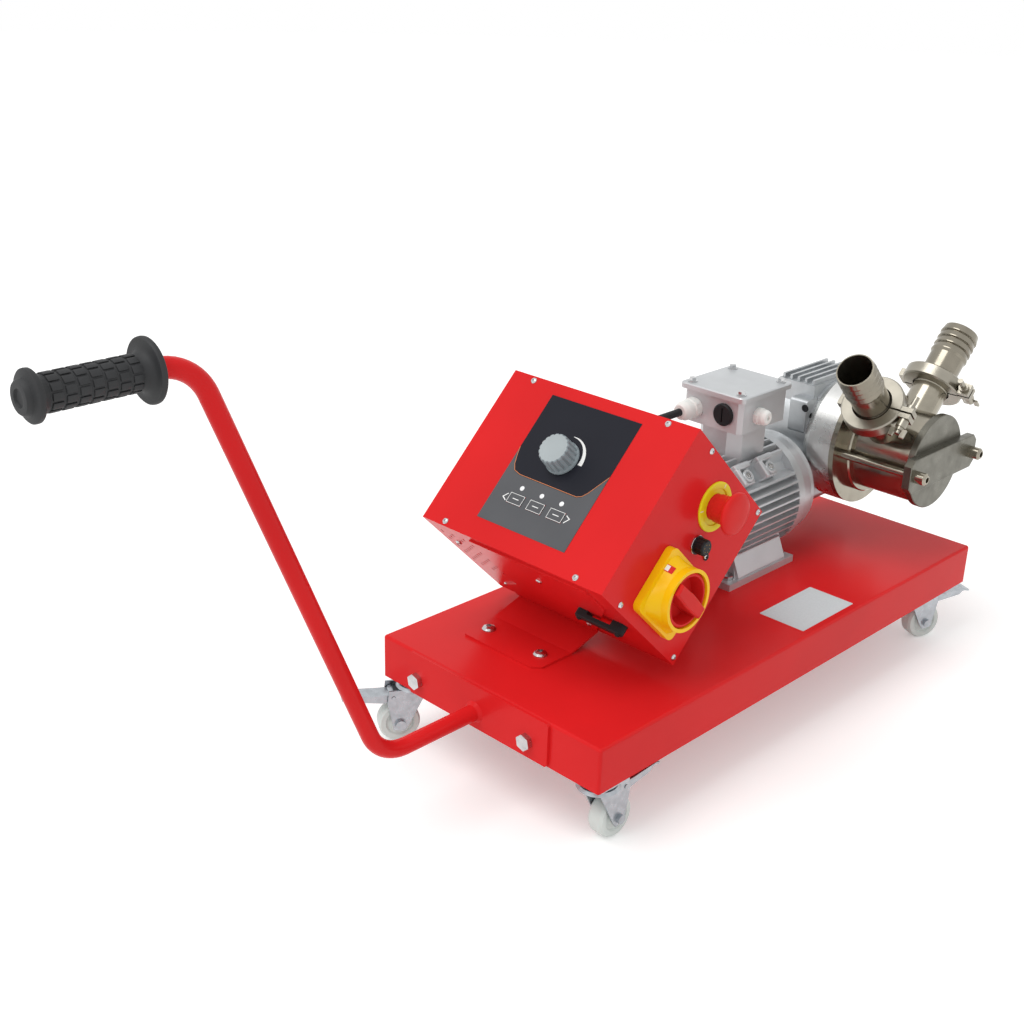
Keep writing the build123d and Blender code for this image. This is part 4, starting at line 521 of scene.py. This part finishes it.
class PUMP_OT_grip(bpy.types.Operator):
    """Hand grip with staggered tread blocks, guard and end flange"""
    bl_idname = "pump.grip"
    bl_label = "Hand grip"

    def execute(self, context):
        sizes = context.scene.pump_sizes
        low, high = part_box("handle_grip")
        centre = (low + high) / 2
        length = high.y - low.y
        guard_r = (high.x - low.x) / 2
        axis_z = high.z - guard_r
        # local z runs from the guard to the free end
        place = frame_at((centre.x, high.y, axis_z),
                         Vector((1, 0, 0)), Vector((0, 0, 1)), Vector((0, -1, 0)))
        bm = bmesh.new()
        end = length / MM
        lathe(bm, [
            (10.8, 0.0), (19.5, 0.0), (21, 1.0), (24, 2.0), (30, 1.6), (31.2, 2.6), (31.5, 4.6), (31.2, 6.6),
            (30, 7.7), (24, 7.6), (20.5, 9), (18.6, 11), (17.6, 13.5), (16.6, 15.5), (16.6, end - 21),
            (17.6, end - 20), (18.4, end - 16), (20, end - 14.4), (23.4, end - 14.0), (24.3, end - 13),
            (24.5, end - 11), (24.3, end - 8.8), (23, end - 7.6), (19, end - 7.2), (17, end - 5.8),
            (16.2, end - 2.4), (14.6, end - 0.5), (11, end), (8.6, end - 0.3), (7.6, end - 2.2),
            (0.0, end - 2.8)], 56)
        # the tread blocks stand in staggered rows between the guard and the end flange
        start, stop = 16.2 * MM, length - 21.6 * MM
        foot_r, tread_r = 16.4 * MM, 18.05 * MM
        shrink, rounding = 1.0 * MM, 0.45 * MM
        pitch = (stop - start) / sizes.tread_rows
        step = 2 * math.pi / sizes.tread_blocks
        groove = sizes.tread_groove
        half_angle = step / 2 - groove / 2 / (18 * MM)
        for row in range(sizes.tread_rows):
            z0 = start + row * pitch + groove / 2
            z1 = start + (row + 1) * pitch - groove / 2
            for i in range(sizes.tread_blocks):
                mid = (i + (0.5 if row % 2 else 0.0)) * step
                block = bmesh.new()
                arc = [on_circle(foot_r, mid - half_angle + 2 * half_angle * k / 3) for k in range(4)]
                verts = [block.verts.new((x, y, z0)) for x, y in arc]
                edges = [block.edges.new(pair) for pair in zip(verts, verts[1:])]
                up = bmesh.ops.extrude_edge_only(block, edges=edges)
                top = [v for v in up["geom"] if isinstance(v, bmesh.types.BMVert)]
                bmesh.ops.translate(block, vec=(0, 0, z1 - z0), verts=top)
                grown = bmesh.ops.extrude_face_region(block, geom=block.faces[:])
                moved = [v for v in grown["geom"] if isinstance(v, bmesh.types.BMVert)]
                for v in moved:
                    v.co.x *= tread_r / foot_r
                    v.co.y *= tread_r / foot_r
                    v.co.z = (z0 + z1) / 2 + (v.co.z - (z0 + z1) / 2) * (1 - shrink / (z1 - z0))
                bmesh.ops.recalc_face_normals(block, faces=block.faces)
                rim = [e for e in block.edges if len(e.link_faces) == 2 and e.calc_face_angle(0.0) > 0.6]
                bmesh.ops.bevel(block, geom=rim, offset=rounding, segments=2, profile=0.5, affect="EDGES",
                                material=-1, clamp_overlap=True)
                merge(bm, block)
        rubber = finishes(context)["Black grip rubber"]
        piece = finish_piece("grip_with_tread", bm, rubber, "trolley", place, 40)
        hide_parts("handle_grip")
        return {"FINISHED"}


class PUMP_OT_rating_plate(bpy.types.Operator):
    """Bare metal plate on the deck"""
    bl_idname = "pump.rating_plate"
    bl_label = "Rating plate"

    def execute(self, context):
        sizes = context.scene.pump_sizes
        low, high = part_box("deck_tray")
        from_side, from_front = 11.5 * MM, 419 * MM
        thick, corner_r, lifted = 0.5 * MM, 1.5 * MM, 0.23 * MM
        bm = bmesh.new()
        bmesh.ops.create_cube(bm, size=1.0)
        bmesh.ops.scale(bm, vec=(sizes.label_x, sizes.label_y, thick), verts=bm.verts)
        upright = [e for e in bm.edges if abs(e.verts[0].co.z - e.verts[1].co.z) > thick / 2]
        bmesh.ops.bevel(bm, geom=upright, offset=corner_r, segments=4, profile=0.5, affect="EDGES",
                        material=-1)
        place = Matrix.Translation((high.x - from_side - sizes.label_x / 2,
                                    low.y + from_front + sizes.label_y / 2, high.z + lifted))
        finish_piece("rating_plate_bare", bm, finishes(context)["Anodised label"], "trolley", place)
        return {"FINISHED"}


class PUMP_OT_speed_knob(bpy.types.Operator):
    """Fluted speed knob with a pale flat top"""
    bl_idname = "pump.speed_knob"
    bl_label = "Speed knob"

    def execute(self, context):
        sizes = context.scene.pump_sizes
        made = finishes(context)
        place = panel_frame()
        flutes, per_flute = sizes.knob_flutes, 8
        stands_at, flute_depth = 1.0 * MM, 1.5
        bm = bmesh.new()
        ring = bmesh.ops.create_circle(bm, cap_ends=False, segments=flutes * per_flute, radius=1.0)["verts"]
        edges = list(bm.edges)
        # radius and height in millimetres, and the share of the flutes' depth
        levels = [(23.0, 0.0, 0.0), (23.0, 2.4, 0.0), (22.4, 3.4, 0.25), (22.0, 4.2, 1.0), (20.9, 23.6, 1.0),
                  (20.3, 25.0, 0.8), (19.2, 25.7, 0.35), (18.2, 25.7, 0.0)]
        sets = [ring]
        for _ in levels[1:]:
            grown = bmesh.ops.extrude_edge_only(bm, edges=edges)["geom"]
            ring = {v for v in grown if isinstance(v, bmesh.types.BMVert)}
            edges = [e for e in grown if isinstance(e, bmesh.types.BMEdge) and ring.issuperset(e.verts)]
            sets.append(ring)
        for ring, (radius, height, share) in zip(sets, levels):
            for v in ring:
                a = math.atan2(v.co.y, v.co.x)
                hollow = max(0.0, math.cos(a * flutes)) ** 0.7 * flute_depth * share
                v.co = Vector((*on_circle((radius - hollow) * MM, a), stands_at + height * MM))
        bmesh.ops.edgeloop_fill(bm, edges=edges)
        top = max(bm.faces, key=lambda f: f.calc_center_median().z)
        bmesh.ops.inset_individual(bm, faces=[top], thickness=0.8 * MM, depth=-0.35 * MM)
        piece = finish_piece("speed_knob_fluted", bm, made["Knob grey"], "speed_knob", place, 40)
        piece.data.materials.append(made["Knob cap"])
        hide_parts("speed_knob")
        out = place.to_3x3() @ Vector((0, 0, 1))
        cap_from = 24 * MM
        for face in piece.data.polygons:
            height = (place.inverted() @ face.center).z
            if face.normal.dot(out) > 0.9 and height > cap_from:
                face.material_index = 1
        return {"FINISHED"}


class PUMP_OT_stop_button(bpy.types.Operator):
    """Emergency stop: backing plate with a sunk well, fixed collar and thick-necked mushroom"""
    bl_idname = "pump.stop_button"
    bl_label = "Emergency stop"

    def execute(self, context):
        made = finishes(context)
        low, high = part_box("estop_base")
        centre = (low + high) / 2
        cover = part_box("enclosure_side")[1].x
        place = side_frame()
        place.translation = Vector((cover, centre.y, centre.z))
        bm = bmesh.new()
        lathe(bm, [(16.9, 0.0), (32, 0.0), (32, 1.7), (31.3, 2.4), (24.6, 2.6), (23.8, 2.2), (23.4, 0.6),
                   (16.9, 0.6), (16.9, 0.0)], 64)
        ring = finish_piece("stop_backing_plate", bm, made["Lemon backing plate"], "trolley", place)
        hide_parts("estop_base")
        bm = bmesh.new()
        lathe(bm, [(0, 0.2), (16.8, 0.2), (16.8, 8.4), (16.4, 8.9), (0, 8.9)], 64)
        finish_piece("stop_collar", bm, made["Safety red"], "trolley", place)
        # the mushroom is domed 4.5 mm past the plain button
        stand = (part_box("estop_button")[1].x - cover) / MM + 4.5
        bm = bmesh.new()
        lathe(bm, [(0, stand - 12), (17.0, stand - 12), (17.0, 7.6), (17.8, 7.4), (18.0, 8),
                   (18.3, stand - 16), (19.4, stand - 13), (24.8, stand - 9.4), (26.4, stand - 7.8),
                   (27, stand - 6), (26.9, stand - 4.4), (26, stand - 2.9), (23, stand - 1.5),
                   (17, stand - 0.5), (9, stand - 0.1), (0, stand)], 72)
        cap = finish_piece("stop_mushroom", bm, made["Safety red"], "estop_button", place, 50)
        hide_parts("estop_button")
        bm = bmesh.new()
        for angle in (0.2, 2.3, 4.4):
            tick = [on_circle(25.2 * MM, angle), on_circle(30.6 * MM, angle)]
            ribbon(bm, tick, 1.0 * MM, 2.35 * MM, 2.62 * MM)
        finish_piece("stop_plate_ticks", bm, made["White ink"], "trolley", place, 0)
        return {"FINISHED"}


class PUMP_OT_side_details(bpy.types.Operator):
    """Isolator window, socket ring, contacts and screw"""
    bl_idname = "pump.side_details"
    bl_label = "Side cover details"

    def execute(self, context):
        made = finishes(context)
        place = side_frame()
        # window on the flank of the isolator's dome, laid on the moulding's own slope
        turned = place.to_3x3()
        hit, spot, out, _ = NODES["isolator_body"].ray_cast(
            place @ Vector((17 * MM, 62 * MM, 14.5 * MM)), turned @ Vector((0, -1, 0)))
        if not hit:
            raise RuntimeError("the isolator housing has no flank for its window")
        across = turned @ Vector((0, 0, 1))
        across = (across - out * across.dot(out)).normalized()
        laid = frame_at(spot, across, out.cross(across), out)
        half_x, half_y, let_in = 5.6 * MM, 4.2 * MM, -2 * MM
        for name, x0, x1, finish in (("isolator_window_white", -half_x, 0.0, "White nylon"),
                                     ("isolator_window_red", 0.0, half_x, "Safety red")):
            bm = bmesh.new()
            flat_shape(bm, [(x0, -half_y), (x1, -half_y), (x1, half_y), (x0, half_y)], let_in, 0.35 * MM)
            finish_piece(name, bm, made[finish], "trolley", laid, 0)
        bm = bmesh.new()
        ribbon(bm, [(-half_x, -half_y), (half_x, -half_y), (half_x, half_y), (-half_x, half_y)],
               0.9 * MM, let_in, 0.6 * MM, closed=True)
        finish_piece("isolator_window_rim", bm, made["Safety red"], "trolley", laid, 0)
        # socket: bright ring behind, fine contacts in the face, screw on the lug
        low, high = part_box("connector_socket")
        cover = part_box("enclosure_side")[1].x
        place.translation = side_spot(130.0, 114.5)
        bm = bmesh.new()
        lathe(bm, [(10.7, 0.0), (12.4, 0.0), (12.4, 1.6), (11.8, 2.1), (10.7, 2.1), (10.7, 0.0)], 40)
        finish_piece("socket_rings", bm, made["Bright zinc fastener"], "trolley", place)
        bm = bmesh.new()
        contact_circle = 5.2 * MM
        for i in range(6):
            tip = bmesh.new()
            lathe(tip, [(0, 0.3), (0.55, 0.25), (0.55, -0.3)], 12)
            bmesh.ops.translate(tip, vec=(*on_circle(contact_circle, math.pi * i / 3), high.x - cover),
                                verts=tip.verts)
            merge(bm, tip)
        finish_piece("socket_contacts", bm, made["Cast bronze"], "trolley", place)
        bm = bmesh.new()
        lathe(bm, [(0, 1.5), (1.1, 1.5), (1.2, 2.9), (2.3, 2.7), (2.8, 2.1), (2.9, 1.3), (0, 1.3)], 24)
        place.translation = Vector((cover, high.y - 7.5 * MM, low.z + 6.2 * MM))
        finish_piece("socket_screw", bm, made["Bright zinc fastener"], "trolley", place)
        return {"FINISHED"}


class PUMP_OT_motor_castings(bpy.types.Operator):
    """Cast lug blocks with their plugs, and the sloping webs over the motor's feet"""
    bl_idname = "pump.motor_castings"
    bl_label = "Motor castings"

    def execute(self, context):
        made = finishes(context)
        axis = Vector(JOINTS["motor_spin"]["pos_m"])
        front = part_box("deck_tray")[0].y
        # two lugs, up and to the right of the motor's axis; each is three rounded blocks, (size, place)
        lug_turn = math.radians(46)
        out = Vector((math.cos(lug_turn), 0, math.sin(lug_turn)))
        side = Vector((-math.sin(lug_turn), 0, math.cos(lug_turn)))
        blocks = (((30, 34, 20), (2, 0, 80)), ((9, 34, 12), (15, 0, 92)), ((26, 8, 14), (0, 14, 92)))
        rounding = 2.2 * MM
        bm = bmesh.new()
        plugs = bmesh.new()
        for y in (488, 541):
            laid = frame_at((axis.x, front + y * MM, axis.z), side, out.cross(side), out)
            on_lug = laid @ Matrix.Translation((-1 * MM, -5 * MM, 0))
            for size, shift in blocks:
                block = bmesh.new()
                bmesh.ops.create_cube(block, size=1.0)
                bmesh.ops.scale(block, vec=[v * MM for v in size], verts=block.verts)
                bmesh.ops.bevel(block, geom=block.edges[:], offset=rounding, segments=3, profile=0.5,
                                affect="EDGES", material=-1)
                bmesh.ops.translate(block, vec=[v * MM for v in shift], verts=block.verts)
                bmesh.ops.transform(block, matrix=laid, verts=block.verts)
                merge(bm, block)
            boss = bmesh.new()
            lathe(boss, [(0, 88), (9.4, 88), (9.4, 93.6), (8.6, 94.6), (6.2, 94.6), (5.6, 92.8),
                         (0, 92.8)], 32)
            bmesh.ops.transform(boss, matrix=on_lug, verts=boss.verts)
            merge(bm, boss)
            plug = bmesh.new()
            lathe(plug, [(0, 92.9), (4.6, 92.9), (4.6, 94.0), (4.0, 94.5), (2.0, 94.5), (2.0, 93.4),
                         (0, 93.4)], 6)
            bmesh.ops.transform(plug, matrix=on_lug, verts=plug.verts)
            merge(plugs, plug)
        finish_piece("motor_lug_blocks", bm, made["Silver motor paint"], "trolley", None, 30)
        finish_piece("motor_lug_plugs", plugs, made["Bright zinc fastener"], "trolley", None, 30)
        # the plugged oil hole on the gearbox's side block
        bm = bmesh.new()
        lathe(bm, [(0, 0.1), (3.7, 0.1), (4.1, 0.7), (5.4, 0.7), (5.7, 0.4), (5.7, -0.2)], 32)
        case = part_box("gearbox_case")
        hole = Matrix.Translation((case[1].x - 35.0 * MM, case[0].y + 25.0 * MM, case[1].z - 36.0 * MM))
        finish_piece("gearbox_oil_hole", bm, made["Black nylon"], "trolley",
                     hole @ Matrix.Rotation(math.radians(90), 4, "X"))
        # a sloping web over each foot: outline across the motor, extruded along it
        bm = bmesh.new()
        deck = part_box("deck_tray")[1].z
        outline = [(48, 10), (84, 10), (84, 13), (69, 47.5), (48, 51)]
        feet_from, feet_length = 466 * MM, 112 * MM
        upright = frame_at((axis.x, front + feet_from, deck), Vector((1, 0, 0)), Vector((0, 0, 1)),
                           Vector((0, 1, 0)))
        for side in (-1, 1):
            web = bmesh.new()
            flat_shape(web, in_metres([(x * side, z) for x, z in outline]), 0.0, feet_length)
            bmesh.ops.transform(web, matrix=upright, verts=web.verts)
            merge(bm, web)
        finish_piece("motor_foot_webs", bm, made["Silver motor paint"], "trolley", None, 20)
        return {"FINISHED"}


FLOOR_RADIUS = 12.0
FLOOR_LIFT = 0.3  # light added to the ground where it is looked at
SKY_FILL = 0.75  # strength of the sky as a lamp; it is 1 where it is looked at
WINDOW_STRENGTH = 1.15
WINDOW_WIDTH = math.radians(38)
WINDOW_AIM = Vector((0.15, 0.45, -0.88))
EYE_PLACE = (1.06544, -1.47712, 1.01805)
EYE_HEADING, EYE_DOWN, EYE_ROLL = 44.304, 22.864, 1.615  # degrees
EYE_LENS, EYE_SENSOR = 49.466, 36.0


class PUMP_OT_stage(bpy.types.Operator):
    """Pale floor, soft lamps and the camera"""
    bl_idname = "pump.stage"
    bl_label = "Stage"

    def execute(self, context):
        scene = context.scene
        scene.view_settings.view_transform = "Standard"
        bm = bmesh.new()
        bmesh.ops.create_circle(bm, cap_ends=True, segments=96, radius=FLOOR_RADIUS)
        mesh = bpy.data.meshes.new("studio_floor")
        bm.to_mesh(mesh)
        bm.free()
        floor = bpy.data.objects.new("studio_floor", mesh)
        scene.collection.objects.link(floor)
        paint = new_material("Pale studio floor")
        ground = node(paint, "ShaderNodeBsdfDiffuse",
                      {"Color": mottle(paint, "#EFEFEE", 900.0, 0.98, 1.02, 1.0)})
        # seen by the eye or in a mirror, the ground is lifted to white and keeps its shadow
        rays = node(paint, "ShaderNodeLightPath")
        seen = node(paint, "ShaderNodeMath",
                    {0: rays.outputs["Is Camera Ray"], 1: rays.outputs["Is Glossy Ray"]},
                    operation="MAXIMUM")
        lift = node(paint, "ShaderNodeMath", {0: seen.outputs[0], 1: FLOOR_LIFT}, operation="MULTIPLY")
        glow = node(paint, "ShaderNodeEmission", {"Strength": lift.outputs[0]})
        both = node(paint, "ShaderNodeAddShader", {0: ground.outputs[0], 1: glow.outputs[0]})
        node(paint, "ShaderNodeOutputMaterial", {"Surface": both.outputs[0]})
        mesh.materials.append(paint)

        world = bpy.data.worlds.new("Soft studio")
        scene.world = world
        world.use_nodes = True
        world.node_tree.nodes.clear()
        path = node(world, "ShaderNodeLightPath")
        seen = node(world, "ShaderNodeMath",
                    {0: path.outputs["Is Camera Ray"], 1: path.outputs["Is Glossy Ray"]},
                    operation="MAXIMUM")
        seen = node(world, "ShaderNodeMath", {0: seen.outputs[0], 1: path.outputs["Is Transmission Ray"]},
                    operation="MAXIMUM")
        level = node(world, "ShaderNodeMapRange",
                     {"Value": seen.outputs[0], "To Min": SKY_FILL, "To Max": 1.0})
        sky = node(world, "ShaderNodeBackground", {"Color": (1, 1, 1, 1), "Strength": level.outputs[0]})
        node(world, "ShaderNodeOutputWorld", {"Surface": sky.outputs[0]})

        sun = bpy.data.lights.new("window", "SUN")
        sun.energy = WINDOW_STRENGTH
        sun.angle = WINDOW_WIDTH
        holder = bpy.data.objects.new("window", sun)
        holder.rotation_euler = WINDOW_AIM.to_track_quat("-Z", "Y").to_euler()
        scene.collection.objects.link(holder)

        eye = bpy.data.cameras.new("viewpoint")
        eye.sensor_width = EYE_SENSOR
        eye.lens = EYE_LENS
        eye.clip_start = 0.05
        camera = bpy.data.objects.new("viewpoint", eye)
        turn = (Matrix.Rotation(math.radians(EYE_HEADING), 4, "Z")
                @ Matrix.Rotation(math.radians(90 - EYE_DOWN), 4, "X")
                @ Matrix.Rotation(math.radians(EYE_ROLL), 4, "Z"))
        camera.matrix_world = Matrix.Translation(EYE_PLACE) @ turn
        scene.collection.objects.link(camera)
        scene.camera = camera
        return {"FINISHED"}


class PUMP_PT_panel(bpy.types.Panel):
    """Sidebar panel"""
    bl_idname = "PUMP_PT_panel"
    bl_label = "Pump trolley"
    bl_space_type = "VIEW_3D"
    bl_region_type = "UI"
    bl_category = "Pump"

    def draw(self, context):
        layout = self.layout
        for group in (context.scene.pump_sizes, context.scene.pump_finish):
            for name in group.bl_rna.properties.keys():
                if name not in ("rna_type", "name"):
                    layout.prop(group, name)
        for operator in OPERATORS:
            layout.operator(operator.bl_idname)


OPERATORS = (PUMP_OT_stage, PUMP_OT_finish_nodes, PUMP_OT_front_foil, PUMP_OT_speed_knob,
             PUMP_OT_stop_button, PUMP_OT_side_details, PUMP_OT_motor_castings, PUMP_OT_grip,
             PUMP_OT_rating_plate)
CLASSES = (PumpFinish, PumpSizes) + OPERATORS + (PUMP_PT_panel,)


def register():
    for made in CLASSES:
        bpy.utils.register_class(made)
    bpy.types.Scene.pump_finish = PointerProperty(type=PumpFinish)
    bpy.types.Scene.pump_sizes = PointerProperty(type=PumpSizes)


def unregister():
    del bpy.types.Scene.pump_sizes
    del bpy.types.Scene.pump_finish
    for made in reversed(CLASSES):
        bpy.utils.unregister_class(made)


def main():
    register()
    for operator in OPERATORS:
        group, name = operator.bl_idname.split(".")
        getattr(getattr(bpy.ops, group), name)()


if __name__ == "__main__":
    main()
